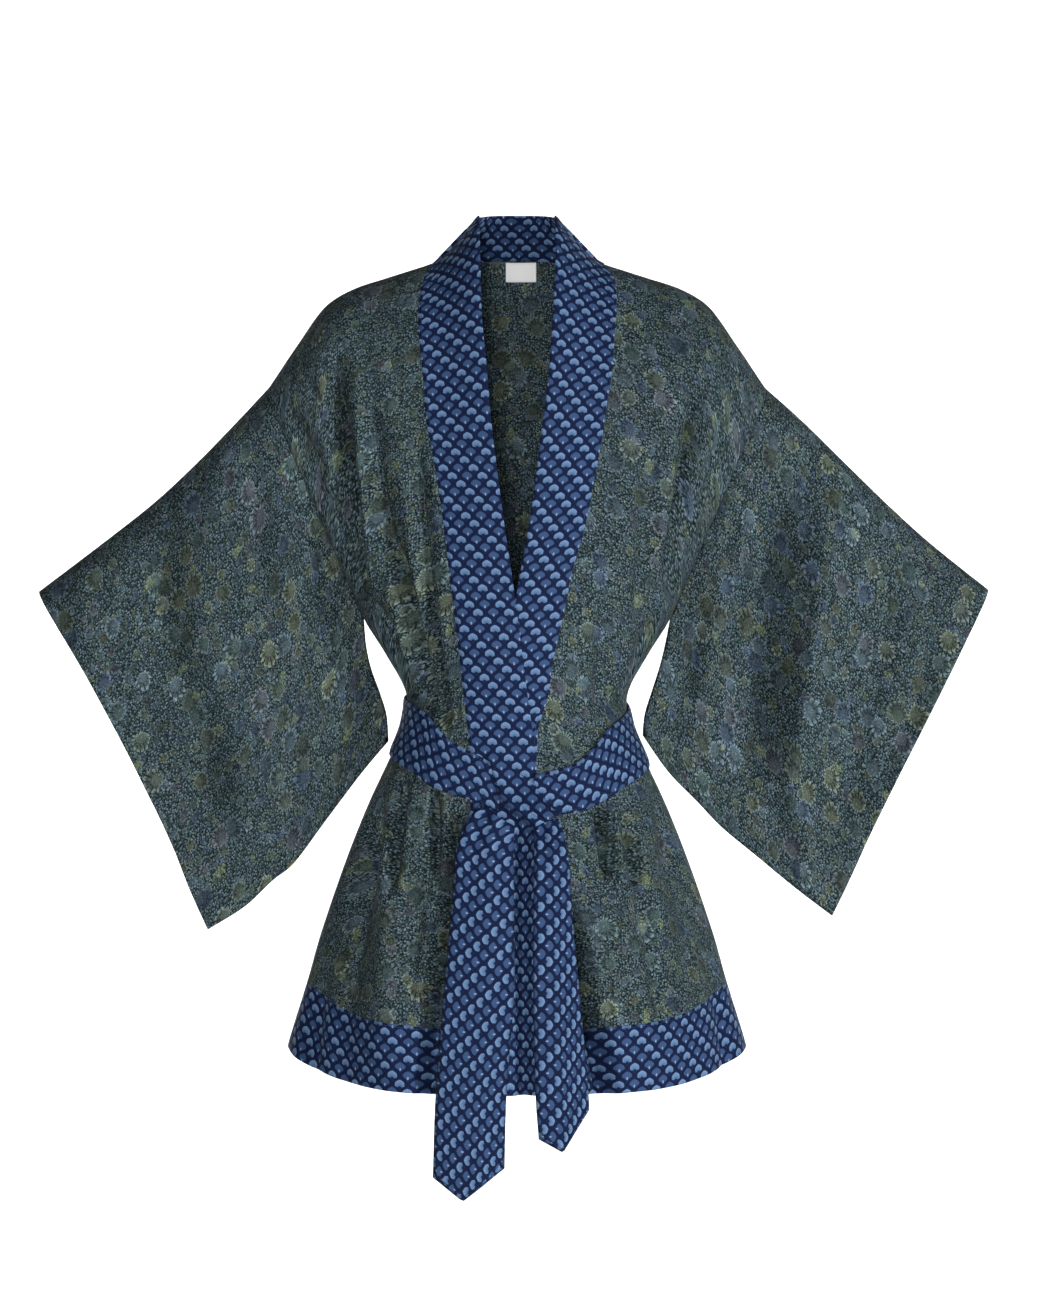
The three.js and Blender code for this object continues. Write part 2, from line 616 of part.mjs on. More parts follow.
// One sleeve: a flat tube over the arm, open at the cuff and the armhole and sewn shut below it
// sleeveLens is 1 at most too, over the arm, and foldEdge is round at both edges of the tube
const flatCurve = (places) => new THREE.SplineCurve(places.map(([x, z]) => new THREE.Vector2(x, z)));
const along = (curve, t) => curve.getPointAt(clamp(t, 0, 1)).toArray();
const sleeveLens = (f) => 3.5 * Math.sqrt(f) * (1 - f) ** 2;
const foldEdge = (f) => Math.sqrt(1 - (2 * f - 1) ** 4);
function sleeve(name, side, outline) {
  const slit = flatCurve(outline.slit);
  const slitParts = steps(SLIT_STEPS).map((t) => 1 - (1 - t) ** 1.5);
  const inner = [...armhole, ...slitParts.slice(1).map((t) => along(slit, t))];
  const lengths = [0];
  for (let k = 1; k < inner.length; k++) {
    const [a, b] = [inner[k - 1], inner[k]];
    lengths.push(lengths[k - 1] + Math.hypot(b[0] - a[0], b[1] - a[1]));
  }
  const down = lengths.map((length) => length / lengths.at(-1));
  const ridge = flatCurve(outline.ridge);
  const bottom = flatCurve(outline.bottom);
  const cuff = flatCurve(outline.cuff);
  const outer = down.map((f) => along(cuff, f));
  const out = steps(SLEEVE_STEPS);
  const places = patch(
    out.map((s) => along(ridge, s)),
    out.map((s) => along(bottom, s)),
    inner,
    outer,
    down
  );
  // rows of places run down the sleeve; the grid runs out along it, round the front and the back
  const grid = out.map((s, station) => {
    const ring = (face, folds) =>
      down.map((f, k) => {
        const [x, z] = places[k][station];
        const atArmhole = k <= UPPER_ROWS ? ARM_HALF * armLens(armholePart(inner[k])) + SEAM / 2 : 0;
        const arm = mix(SLEEVE_HALF.arm.armhole, SLEEVE_HALF.arm.cuff, s) * sleeveLens(f);
        const fold = mix(SLEEVE_HALF.fold.armhole, SLEEVE_HALF.fold.cuff, s) * foldEdge(f);
        const half = mix(atArmhole, arm + fold, ease(0, 0.36, s));
        const free = ease(0, 0.25, s) * ease(0, 0.12, f) * ease(0, 0.1, 1 - f);
        const shut = f === 0 || f === 1 ? 0 : half;
        const y = face.sign * (shut + free * foldAt(folds, x, z));
        const gap = station === 0 ? SLEEVE_SEAM : 0;
        return { at: new THREE.Vector3(side * (x + 0.92 * gap), y, z - 0.39 * gap) };
      });
    const fore = ring(FRONT, SLEEVE_FRONT_FOLDS);
    const aft = ring(BACK, SLEEVE_BACK_FOLDS);
    aft[0] = fore[0];
    return [...fore, ...aft.reverse().slice(1)];
  });
  wall(name, [side < 0 ? turned(grid) : grid], CLOTH, PRINTED);
}
const armholePart = ([x, z]) => clamp((ridgeZ(x) - z) / (ridgeZ(x) - UNDERARM_Z), 0, 1);

// The belt, round the waist from one side of the knot to the other
function belt() {
  const grid = [];
  for (let i = 0; i <= BELT_STEPS; i++) {
    const turn = mix(-180 + BELT_START, 180 - BELT_START, i / BELT_STEPS);
    const angle = 180 - Math.abs(turn);
    const side = Math.sign(turn) || 1;
    const middle = (side < 0 ? beltZ.right : beltZ.left)(angle);
    const face = angle < 90 ? FRONT : BACK;
    const lift = mix(BELT_LIFT, BELT_SIDE_LIFT, ease(40, 85, angle));
    grid.push(
      steps(BELT_ACROSS).map((t) => {
        const z = middle + beltZ.half(angle) * (1 - 2 * t);
        const x = side * Math.sin(radians(angle)) * sideX(z);
        return lifted(onForm(x, z, face), lift);
      })
    );
  }
  wall("belt", [grid], BELT_CLOTH, NAVY);
}

// A hanging end of the belt, lying on the front and free below the hem
function tie(name, shape) {
  const left = smooth(shape.edges, "z", "left");
  const right = smooth(shape.edges, "z", "right");
  const grid = steps(TIE_STEPS).map((t) =>
    steps(TIE_ACROSS).map((w) => {
      const { left: from, point, right: to, at } = shape.end;
      const foot = w < at ? mix(from, point, w / at) : mix(point, to, (w - at) / (1 - at));
      const z = mix(mix(shape.top.left, shape.top.right, w), foot, t);
      return lifted(onForm(mix(left(z), right(z), w), z, FRONT), TIE_LIFT);
    })
  );
  wall(name, [grid], BELT_CLOTH, NAVY);
}

// The knot: a pad that bulges along its middle, thin where it tucks under at both ends
function knot() {
  const length = Math.hypot(KNOT.to.x - KNOT.from.x, KNOT.to.z - KNOT.from.z);
  const ux = (KNOT.to.x - KNOT.from.x) / length;
  const uz = (KNOT.to.z - KNOT.from.z) / length;
  const grid = steps(8).map((t) =>
    steps(6).map((w) => {
      const reach = length * (t - 0.5) * (1 + KNOT.bow * Math.cos(Math.PI * (w - 0.5)));
      const across = KNOT.half * (2 * w - 1) * (1 - KNOT.pinch * (1 - (2 * t - 1) ** 2));
      const x = (KNOT.from.x + KNOT.to.x) / 2 + ux * reach - uz * across;
      const z = (KNOT.from.z + KNOT.to.z) / 2 + uz * reach + ux * across;
      const bulge = foldEdge(w) * mix(KNOT.flat, 1, Math.sin(Math.PI * t));
      const { at, width, depth: sunk } = KNOT.crease;
      const crease = 1 - sunk * Math.exp(-(((w - at) / width) ** 2));
      const thickness = mix(KNOT.thin, KNOT.thick, bulge * crease);
      return { ...lifted(onForm(x, z, FRONT), KNOT.under + thickness), thickness };
    })
  );
  wall("belt_knot", [grid], BELT_CLOTH, NAVY);
}

// The small label inside the back, just below the neck seam
function label() {
  const inside = -(CLOTH + LABEL_CLEAR);
  const grid = steps(2).map((t) =>
    steps(4).map((w) => {
      const point = onForm(mix(LABEL.right, LABEL.left, w), mix(LABEL.top, LABEL.bottom, t), BACK);
      return lifted(point, inside);
    })
  );
  wall("label", [grid], LABEL_CLOTH, WHITE);
}

back();
front("front_right", -1, rightBand, RIGHT_FRONT_FOLDS, true);
front("front_left", 1, leftBand, LEFT_FRONT_FOLDS, false);
neckband();
sleeve("sleeve_right", -1, SLEEVES.right);
sleeve("sleeve_left", 1, SLEEVES.left);
belt();
knot();
tie("belt_end_long", LONG_TIE);
tie("belt_end_short", SHORT_TIE);
label();

export default kimono;
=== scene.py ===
import math

import bpy
import numpy as np
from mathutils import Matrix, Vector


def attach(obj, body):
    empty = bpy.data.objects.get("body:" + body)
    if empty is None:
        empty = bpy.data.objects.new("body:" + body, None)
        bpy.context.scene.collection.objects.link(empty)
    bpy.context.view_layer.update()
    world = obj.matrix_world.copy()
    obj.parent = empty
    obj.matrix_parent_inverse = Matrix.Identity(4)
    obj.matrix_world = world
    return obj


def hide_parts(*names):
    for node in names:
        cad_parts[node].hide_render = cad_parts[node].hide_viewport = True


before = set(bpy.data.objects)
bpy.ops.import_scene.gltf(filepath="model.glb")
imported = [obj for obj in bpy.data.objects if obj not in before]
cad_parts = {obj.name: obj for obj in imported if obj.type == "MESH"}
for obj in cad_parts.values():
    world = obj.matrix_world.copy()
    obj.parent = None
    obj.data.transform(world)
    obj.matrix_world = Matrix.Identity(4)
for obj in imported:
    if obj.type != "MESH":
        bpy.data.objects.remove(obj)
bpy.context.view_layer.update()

# ---------------------------------------------------------------------------------------------
# Studio: a pale paper sweep that curves up behind the garment, one soft panel at the wearer's left and
# one in front, two more that light the paper, and the camera straight in front, three metres away and
# a little above the waist.
SWEEP_COLOUR = "f7f7f5"
SWEEP_Z = -1.4  # the garment hangs at the height at which it's worn
SWEEP_HALF_WIDTH = 6.0
SWEEP_FRONT, SWEEP_BACK, SWEEP_TOP, SWEEP_RADIUS = -5.0, 3.4, 5.0, 1.6


def linear(hex_colour):
    """An sRGB hex colour as the linear RGBA that shaders take."""
    parts = [int(hex_colour[i:i + 2], 16) / 255 for i in (0, 2, 4)]
    return (*[c / 12.92 if c <= 0.04045 else ((c + 0.055) / 1.055) ** 2.4 for c in parts], 1.0)


def add_node(tree, kind, links=None, **settings):
    """Adds a shader or geometry node: settings are its own options, links its inputs by name or number."""
    item = tree.nodes.new(kind)
    for key, value in settings.items():
        setattr(item, key, value)
    for key, value in (links or {}).items():
        socket = item.inputs[key]
        if isinstance(value, bpy.types.NodeSocket):
            tree.links.new(value, socket)
        else:
            socket.default_value = value
    return item


def new_material(name):
    material = bpy.data.materials.new(name)
    material.use_nodes = True
    material.node_tree.nodes.clear()
    return material, material.node_tree


def surface(tree, sockets):
    """Ends a material in one surface shader with these inputs."""
    shader = add_node(tree, "ShaderNodeBsdfPrincipled", sockets)
    add_node(tree, "ShaderNodeOutputMaterial", {"Surface": shader.outputs["BSDF"]})


paper, tree = new_material("matt_photo_paper")  # an even matt white that shows only soft shadows
grain = add_node(tree, "ShaderNodeTexNoise", {"Scale": 900.0, "Detail": 2.0})
relief = add_node(tree, "ShaderNodeBump", {"Strength": 0.02, "Height": grain.outputs["Fac"]})
surface(tree, {"Base Color": linear(SWEEP_COLOUR), "Roughness": 0.9, "Normal": relief.outputs["Normal"]})

bend = [math.radians(a) for a in range(0, 91, 6)]
profile = [(SWEEP_FRONT, SWEEP_Z)]
profile += [(SWEEP_BACK - SWEEP_RADIUS + SWEEP_RADIUS * math.sin(a),
             SWEEP_Z + SWEEP_RADIUS * (1 - math.cos(a))) for a in bend]
profile += [(SWEEP_BACK, SWEEP_TOP)]
sweep_mesh = bpy.data.meshes.new("sweep")
sweep_mesh.from_pydata(
    [(x, y, z) for y, z in profile for x in (-SWEEP_HALF_WIDTH, SWEEP_HALF_WIDTH)], [],
    [(2 * i, 2 * i + 1, 2 * i + 3, 2 * i + 2) for i in range(len(profile) - 1)])
sweep_mesh.shade_smooth()
sweep = bpy.data.objects.new("paper_sweep", sweep_mesh)
sweep.data.materials.append(paper)
bpy.context.collection.objects.link(sweep)

AIR_COLOUR, AIR_STRENGTH = "ffffff", 0.035
world = bpy.data.worlds.new("studio_air")
world.use_nodes = True
air = world.node_tree.nodes["Background"].inputs
air["Color"].default_value, air["Strength"].default_value = linear(AIR_COLOUR), AIR_STRENGTH
bpy.context.scene.world = world

# place, what it points at, size, power and spread in degrees of each soft panel
LIGHTS = {
    "key_panel": ((2.7, -2.5, -0.35), (0.0, 0.0, -0.4), 0.6, 82, 180),
    "front_panel": ((-0.2, -4.3, -0.45), (0.0, 0.0, -0.4), 0.8, 98, 180),
    "back_panel_left": ((-2.6, 1.2, 1.4), (-0.6, 3.4, -0.2), 1.6, 62, 110),
    "back_panel_right": ((2.6, 1.2, 1.4), (0.6, 3.4, -0.2), 1.6, 62, 110),
}
for name, (place, aim, size, power, spread) in LIGHTS.items():
    lamp = bpy.data.lights.new(name, "AREA")
    lamp.shape, lamp.size, lamp.energy, lamp.spread = "DISK", size, power, math.radians(spread)
    lamp_object = bpy.data.objects.new(name, lamp)
    lamp_object.location = place
    way = Vector(aim) - Vector(place)
    lamp_object.rotation_euler = way.to_track_quat("-Z", "Y").to_euler()
    bpy.context.collection.objects.link(lamp_object)
bpy.context.scene.view_settings.view_transform = "Standard"

camera_data = bpy.data.cameras.new("camera")
camera_data.sensor_fit, camera_data.sensor_width, camera_data.lens = "AUTO", 36.0, 81.43
camera_data.clip_start, camera_data.clip_end = 0.05, 40.0
camera = bpy.data.objects.new("camera", camera_data)
camera.location = (0.00306, -3.0, -0.396)
camera.rotation_euler = (math.radians(90), 0, 0)
bpy.context.collection.objects.link(camera)
bpy.context.scene.camera = camera

# ---------------------------------------------------------------------------------------------
# Back: one panel of light printed cloth from the shoulders to the hem band, cut out round the neck.
# It hangs from the shoulders, is drawn in by the belt and flares over the hips in soft flutes.
# All cloth is worked out in millimetres and made in metres.
CLOTH = 1.0          # a single layer of the printed cloth
NECK_HALF, NECK_BACK, NECK_RISE, NECK_POINT_Z = 86.0, 78.0, 12.0, -1.5
BAND_EDGE_HALF, BAND_EDGE_Z = 39.5, 47.0
ARMHOLE_Z, UNDERARM_Z = -130.0, -364.0
ARM_HALF = 52.0      # half the thickness of the arm, front to back
ROUND = 2.2          # 2 makes every ring of the body an ellipse, more makes it squarer

# x, z of the top of the garment: the neckband at the neck, then the shoulder down to the armhole
RIDGE = [(0, 62), (BAND_EDGE_HALF, BAND_EDGE_Z), (53, 30), (67, 13), (76, 4.5), (NECK_HALF, NECK_POINT_Z),
         (110, -9.5), (135, -17.5), (160, -25.5), (180, -35), (195, -46), (207, -61), (219, -79), (232, -98),
         (246, -119), (254, -130), (280, -153)]
# z, half the width of the body: armhole seam, underarm, waist, hip, hem
SIDE = [(40, 322), (-130, 254), (-250, 204), (-364, 156), (-400, 134), (-440, 113), (-470, 115), (-500, 127),
        (-554, 152), (-612, 175), (-685, 200), (-731, 213), (-796, 233), (-826, 240)]
# z, distance of the centre front and of the centre back from the plane of the side seams
CENTRE_FRONT = [(-364, 117), (-430, 111), (-490, 101), (-545, 97), (-600, 108), (-700, 128), (-824, 145),
                (-940, 145)]
CENTRE_BACK = [(-364, 104), (-420, 94), (-465, 87), (-520, 100), (-600, 122), (-700, 138), (-824, 150)]
# z at the centre and at the side seams, where the hem bands begin and end
HEM_SEAM, HEM_FOOT = (-765.0, -732.0), (-828.0, -797.0)
# angle from the centre front, z of the belt's middle on the wearer's right and left, half its width
BELT = [(0, -543, -545, 22), (16, -523, -537, 22), (26, -515, -531, 23), (37, -505, -518, 25),
        (52, -487, -501, 28), (90, -472, -482, 28), (135, -462, -466, 28), (180, -460, -460, 28)]
# folds: x1, z1, x2, z2, width, depth (negative for a trough), sideways bow
BACK_FOLDS = [
    (-190, -90, -150, -350, 14, -7, 4), (-120, -180, -95, -430, 15, -7, -3), (-52, -230, -42, -425, 13, -5, 2),
    (18, -200, 14, -425, 15, -4, -3), (78, -210, 66, -425, 14, -6, 3), (132, -150, 104, -430, 14, -6, -4),
    (188, -95, 152, -345, 13, -6, -4), (-104, -505, -186, -815, 18, -9, 5), (-66, -500, -104, -815, 18, -9, 4),
    (-18, -500, -30, -815, 18, -8, -3), (28, -500, 44, -815, 17, -9, 3), (74, -502, 118, -815, 18, -8, -4),
    (110, -508, 190, -815, 17, -8, -5), (-200, -150, -120, -235, 8, -3, 6), (205, -155, 128, -250, 8, -3, -6),
    (-150, -255, -60, -330, 9, -2.2, 7), (155, -262, 70, -342, 9, -2.2, -7), (-30, -70, -48, -190, 16, -2, 0),
    (46, -64, 58, -180, 15, -2, 0), (-90, -395, -60, -440, 6, -2.6, 2), (-25, -385, -20, -436, 6, -2.2, 0),
    (40, -392, 36, -438, 6, -2.4, 0), (86, -390, 66, -438, 6, -2.4, -2), (-84, -492, -132, -610, 7, -3.2, 3),
    (-44, -490, -66, -600, 7, -3, 2), (4, -490, 8, -590, 7, -2.6, 0), (52, -490, 78, -600, 7, -3, -2),
    (92, -494, 140, -600, 7, -3.2, -3), (-150, -560, -215, -790, 12, 3.5, 4), (152, -560, 214, -790, 12, 3.5, -4),
]


def smooth(table, column=1):
    """The smooth line through one column of a table, by its first column."""
    rows = np.array(sorted(table), float)
    at, to = rows[:, 0], rows[:, column]
    slope = np.empty(len(at))
    slope[1:-1] = (to[2:] - to[:-2]) / (at[2:] - at[:-2])
    slope[0], slope[-1] = (to[1] - to[0]) / (at[1] - at[0]), (to[-1] - to[-2]) / (at[-1] - at[-2])

    def line(value):
        value = np.asarray(value, float)
        i = np.clip(np.searchsorted(at, value) - 1, 0, len(at) - 2)
        span = at[i + 1] - at[i]
        t = (value - at[i]) / span
        turn = (2 * t - 3) * t * t
        inside = (to[i] * (1 + turn) - to[i + 1] * turn
                  + span * (slope[i] * t * (1 - t) ** 2 - slope[i + 1] * t * t * (1 - t)))
        before = to[0] + slope[0] * (value - at[0])
        after = to[-1] + slope[-1] * (value - at[-1])
        return np.where(value < at[0], before, np.where(value > at[-1], after, inside))

    return line


def mix(a, b, t):
    return a + (b - a) * t


def ease(start, stop, value):
    t = np.clip((value - start) / (stop - start), 0, 1)
    return t * t * (3 - 2 * t)


ridge_z, side_x = smooth(RIDGE), smooth(SIDE)
centre_front, centre_back = smooth(CENTRE_FRONT), smooth(CENTRE_BACK)
belt_right, belt_left, belt_half = smooth(BELT, 1), smooth(BELT, 2), smooth(BELT, 3)


def neckline(x):
    return mix(NECK_RISE, NECK_POINT_Z, (x / NECK_HALF) ** 2)


def neck_depth(x):
    return NECK_BACK * np.sqrt(np.maximum(0, 1 - (x / NECK_HALF) ** 2))


def arm_lens(p):
    """Thickness of the arm by the way p down the armhole: round at the top, nothing at the underarm."""
    return 2.8 * np.sqrt(p) * (1 - p) ** 1.2


def depth(x, z, face):
    """How far the worn form lies in front of (face -1) or behind (face 1) the plane of the side seams."""
    reach = np.abs(x)
    across = np.minimum(reach / side_x(z), 1)
    ring = np.maximum(1 - across ** ROUND, 0)
    centre = centre_front if face < 0 else centre_back
    in_neck = (reach < NECK_HALF) & (face > 0)
    top = np.where(in_neck, neckline(x), ridge_z(reach))
    start = np.where(in_neck, neck_depth(x), 0.0)
    turn = mix(1, 0.5, ease(0.3, 1, reach / NECK_HALF)) if face > 0 else 0.5
    p = np.clip((top - z) / (top - UNDERARM_Z), 0, 1)
    fullness = mix(1, 1 / ROUND, ease(0.55, 1, p))
    chest = centre(UNDERARM_Z) * ring ** fullness
    upper = mix(start, chest, (p * (2 - p)) ** turn) + ARM_HALF * ease(0.25, 1, across) * arm_lens(p)
    return np.where(z <= UNDERARM_Z, centre(z) * ring ** (1 / ROUND), upper)


def on_form(x, z, face, lift=0.0):
    """Points of the worn form, moved out along its own direction by lift."""
    step = 0.05
    here = depth(x, z, face)
    inner = x - np.sign(x) * step
    slope_x = np.where(x == 0, 0, (depth(inner, z, face) - here) / np.where(x == 0, 1, inner - x))
    below = depth(x, z - step, face)
    slope_z = np.where(below > 0, (here - below) / step, (depth(x, z + step, face) - here) / step)
    out = np.stack([-slope_x, np.full_like(here, face), -slope_z], -1)
    out /= np.linalg.norm(out, axis=-1, keepdims=True)
    return np.stack([x, face * here, z], -1) + out * np.asarray(lift)[..., None]


FOLD_DEPTH = 3.1  # multiplies every depth in the tables of folds
BROAD_FOLD = 10   # folds wider than this are soft and broad, the others are sharp creases
CALM_FROM, CALM_TO = 590, 800  # over this way below the shoulders the doubled hem evens the folds out
FOOT_WIDER, FOOT_CALMER = 0.55, 0.62
NO_HEM = -2000    # stands for the foot of a piece without a hem band


def folds(x, z, table, open_foot=HEM_SEAM[1]):
    """Depth of all folds of a table: soft troughs with a low swell beside them, fading at their ends."""
    total = np.zeros_like(x)
    to_foot = ease(CALM_FROM, CALM_TO, -z) if open_foot > NO_HEM else 0
    widen, calm = 1 + FOOT_WIDER * to_foot, 1 - FOOT_CALMER * to_foot
    for x1, z1, x2, z2, width, deep, bow in table:
        dx, dz = x2 - x1, z2 - z1
        length = math.hypot(dx, dz)
        way = ((x - x1) * dx + (z - z1) * dz) / length ** 2
        near = np.clip(way, 0, 1)
        aside = ((x - x1) * dz - (z - z1) * dx) / length - bow * 4 * near * (1 - near)
        broad = width > BROAD_FOLD
        off = np.hypot(aside, (way - near) * length) / (width * (widen if broad else 1))
        fade = np.minimum(1, np.minimum(4 * near, 5 * (1 - near) + (1 if z2 < open_foot else 0)))
        fade = fade * (calm if broad else mix(1, calm, 0.5))
        total += deep * fade * (np.exp(-off ** (1.45 if broad else 1.1))
                                - (0.25 if broad else 0.12) * np.exp(-((off - 2.1) / 0.8) ** 2))
    return FOLD_DEPTH * total


# soft irregular waves of hanging cloth: wavelengths in mm, mostly upright, each with its own height
wave_luck = np.random.default_rng(11)
WAVES = [(wave_luck.uniform(26, 95), wave_luck.uniform(-0.35, 0.35), wave_luck.uniform(0, 6.28),
          wave_luck.uniform(120, 330), wave_luck.uniform(0, 6.28)) for _ in range(9)]


def waves(x, z, height):
    total = np.zeros_like(x)
    for length, lean, phase, beat, start in WAVES:
        swell = 0.5 + 0.5 * np.sin(2 * math.pi * (z + 0.4 * x) / beat + start)
        total += np.sin(2 * math.pi * (x + lean * z) / length + phase) * swell * (length / 60)
    return height * total / math.sqrt(len(WAVES))


def clear_of_belt(x, z, face, margin):
    """1 away from the belt and 0 under it, which holds the cloth flat."""
    turn = np.degrees(np.arcsin(np.minimum(np.abs(x) / side_x(z), 1)))
    angle = turn if face < 0 else 180 - turn
    middle = np.where(x < 0, belt_right(angle), belt_left(angle))
    half = belt_half(angle)
    return ease(half - 4, half + margin, np.abs(z - middle))


def steps(count):
    return np.linspace(0, 1, count + 1)


def level_line(line, across):
    """Height of a line that is nearly level across the middle and rises to the side seams."""
    return mix(line[0], line[1], np.abs(across) ** 4.2)


def across_to(line, inner_x, count):
    """Places along a level line from an inner x to the side seam, by equal angles."""
    start = math.asin(min(abs(inner_x) / float(side_x(line[0])), 1))
    across = np.sin(mix(start, math.pi / 2, steps(count)))
    z = level_line(line, across)
    return np.stack([across * side_x(z), z], -1)


def patch(top, bottom, inner, outer, parts):
    """A patch in x and z from its top and bottom lines, bowed to meet its inner and outer ones."""
    p = parts[:, None, None]
    t = steps(len(top) - 1)[None, :, None]
    flat = mix(top[None], bottom[None], p)
    bow_inner = inner[:, None] - mix(inner[0], inner[-1], p)
    bow_outer = outer[:, None] - mix(outer[0], outer[-1], p)
    return flat + (1 - t) * bow_inner + t * bow_outer


UPPER_ROWS, LOWER_ROWS, HEM_ROWS, RIDGE_STEPS, NECK_STEPS = 84, 96, 14, 96, 22
upper_parts = 1 - np.cos(np.radians(90) * steps(UPPER_ROWS))
armhole_z = mix(ARMHOLE_Z, UNDERARM_Z, upper_parts)
armhole = np.stack([side_x(armhole_z), armhole_z], -1)
shoulder_x = mix(NECK_HALF, armhole[0, 0], steps(RIDGE_STEPS))
shoulder = np.stack([shoulder_x, ridge_z(shoulder_x)], -1)
body_lines = [(mix(UNDERARM_Z, HEM_SEAM[0], f), mix(UNDERARM_Z, HEM_SEAM[1], f)) for f in steps(LOWER_ROWS)[1:]]
hem_lines = [(mix(HEM_SEAM[0], HEM_FOOT[0], f), mix(HEM_SEAM[1], HEM_FOOT[1], f)) for f in steps(HEM_ROWS)]


def laid_flat(points, start_v=0.0):
    """The cloth's own flat coordinates in mm: along each row and down each column of its grid."""
    u = np.zeros(points.shape[:2])
    v = np.zeros(points.shape[:2])
    u[:, 1:] = np.cumsum(np.linalg.norm(np.diff(points, axis=1), axis=-1), axis=1)
    v[1:] = np.cumsum(np.linalg.norm(np.diff(points, axis=0), axis=-1), axis=0)
    return np.stack([u, start_v - v], -1)


def cloth_piece(name, points, flat, thickness, material, node):
    """Makes a sheet of cloth from a grid of outer points: welds it where its points agree, gives it its
    thickness inwards and a round edge, and stands it for the solid of the same piece."""
    rows, columns = points.shape[:2]
    places, uvs = points.reshape(-1, 3), flat.reshape(-1, 2)
    number = np.arange(rows * columns).reshape(rows, columns)
    quads = np.stack([number[:-1, :-1], number[:-1, 1:], number[1:, 1:], number[1:, :-1]], -1).reshape(-1, 4)
    corners = places[quads]
    normals = np.cross(corners[:, 2] - corners[:, 0], corners[:, 3] - corners[:, 1])
    if np.sum(normals[:, 1] * corners[:, :, 1].mean(1)) < 0:
        quads, normals = quads[:, ::-1], -normals
    _, first, weld = np.unique(np.round(places * 500).astype(np.int64), axis=0, return_index=True,
                               return_inverse=True)
    weld = weld.ravel()
    outer = places[first]
    out = np.zeros_like(outer)
    for k in range(4):
        np.add.at(out, weld[quads[:, k]], normals)
    out /= np.maximum(np.linalg.norm(out, axis=1, keepdims=True), 1e-9)
    faces, face_uvs = [], []
    for quad in quads.tolist():
        ring = [k for i, k in enumerate(quad) if weld[k] != weld[quad[i - 1]]]
        if len(ring) > 2:
            faces.append([int(weld[k]) for k in ring])
            face_uvs.append(ring)
    edges = {}
    for ring, raw in zip(faces, face_uvs):
        for i in range(len(ring)):
            a, b = ring[i - 1], ring[i]
            if edges.pop((b, a), None) is None:
                edges[(a, b)] = (raw[i - 1], raw[i])
    aside = np.zeros_like(outer)
    for a, b in edges:
        way = np.cross(outer[b] - outer[a], out[a] + out[b])
        way /= max(np.linalg.norm(way), 1e-9)
        aside[a] += way
        aside[b] += way
    aside /= np.maximum(np.linalg.norm(aside, axis=1, keepdims=True), 1e-9)
    inner = outer - out * thickness
    edge_points = (outer + inner) / 2 + aside * thickness * 0.45
    count = len(outer)
    rim_number = {}
    for pair in edges:
        for a in pair:
            rim_number.setdefault(a, 2 * count + len(rim_number))
    vertices = np.concatenate([outer, inner, edge_points[list(rim_number)]]) / 1000
    all_faces = faces + [[k + count for k in reversed(ring)] for ring in faces]
    all_uvs = face_uvs + [raw[::-1] for raw in face_uvs]
    for (a, b), (ra, rb) in edges.items():
        ma, mb = rim_number[a], rim_number[b]
        all_faces += [[b, a, ma, mb], [mb, ma, a + count, b + count]]
        all_uvs += [[rb, ra, ra, rb], [rb, ra, ra, rb]]
    mesh = bpy.data.meshes.new(name)
    mesh.from_pydata(vertices.tolist(), [], all_faces)
    mesh.shade_smooth()
    rim = np.zeros(len(all_faces), bool)
    rim[2 * len(faces):] = True
    mesh.attributes.new("sharp_face", "BOOLEAN", "FACE").data.foreach_set("value", rim)
    layer = mesh.uv_layers.new(name="cloth")
    order = np.concatenate([np.array(ring) for ring in all_uvs])
    layer.data.foreach_set("uv", (uvs[order] / 1000).ravel())
    piece = bpy.data.objects.new(name, mesh)
    mesh.materials.append(material)
    bpy.context.collection.objects.link(piece)
    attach(piece, "root")
    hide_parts(node)
    return piece


# Light viscose, plain woven and printed all over with small flowers: matt, faintly furry at a flat
# angle, with its weave too fine to see. The print's sizes are in mm on the flat cloth.
GROUND, GROUND_SHADE = "111d21", "0b1417"
SPECK_COLOURS = ["86a3ae", "7a97a2", "90a7b6", "829b94"]
FLOWER_COLOURS = ["8ea7b3", "7b92b0", "93a197", "86a1a2", "9ba78f", "9097a4", "8aa3b2", "8a9d8f"]
LEAF_COLOUR = "88956a"


class Sums:
    """Writes arithmetic on sockets as math nodes."""

    def __init__(self, tree):
        self.tree = tree

    def __call__(self, operation, *values):
        return add_node(self.tree, "ShaderNodeMath", dict(enumerate(values)), operation=operation).outputs[0]

    def times(self, first, *others):
        for other in others:
            first = self("MULTIPLY", first, other)
        return first

    def plus(self, first, *others):
        for other in others:
            first = self("ADD", first, other)
        return first

    def scaled(self, value, slope, start):
        return self("MULTIPLY_ADD", value, slope, start)

    def length(self, x, y):
        return self("SQRT", self.plus(self.times(x, x), self.times(y, y)))

    def smooth_step(self, value, low, high):
        item = add_node(self.tree, "ShaderNodeMapRange",
                        {"Value": value, "From Min": low, "From Max": high}, interpolation_type="SMOOTHSTEP")
        return item.outputs["Result"]

    def blend(self, factor, first, second):
        item = add_node(self.tree, "ShaderNodeMix", {0: factor, 6: first, 7: second},
                        data_type="RGBA")
        return item.outputs[2]


def flat_cloth_mm(tree):
    """The cloth's own flat coordinates, in mm."""
    place = add_node(tree, "ShaderNodeUVMap", uv_map="cloth").outputs["UV"]
    return add_node(tree, "ShaderNodeMapping", {"Vector": place, "Scale": (1000, 1000, 1000)}).outputs[0]


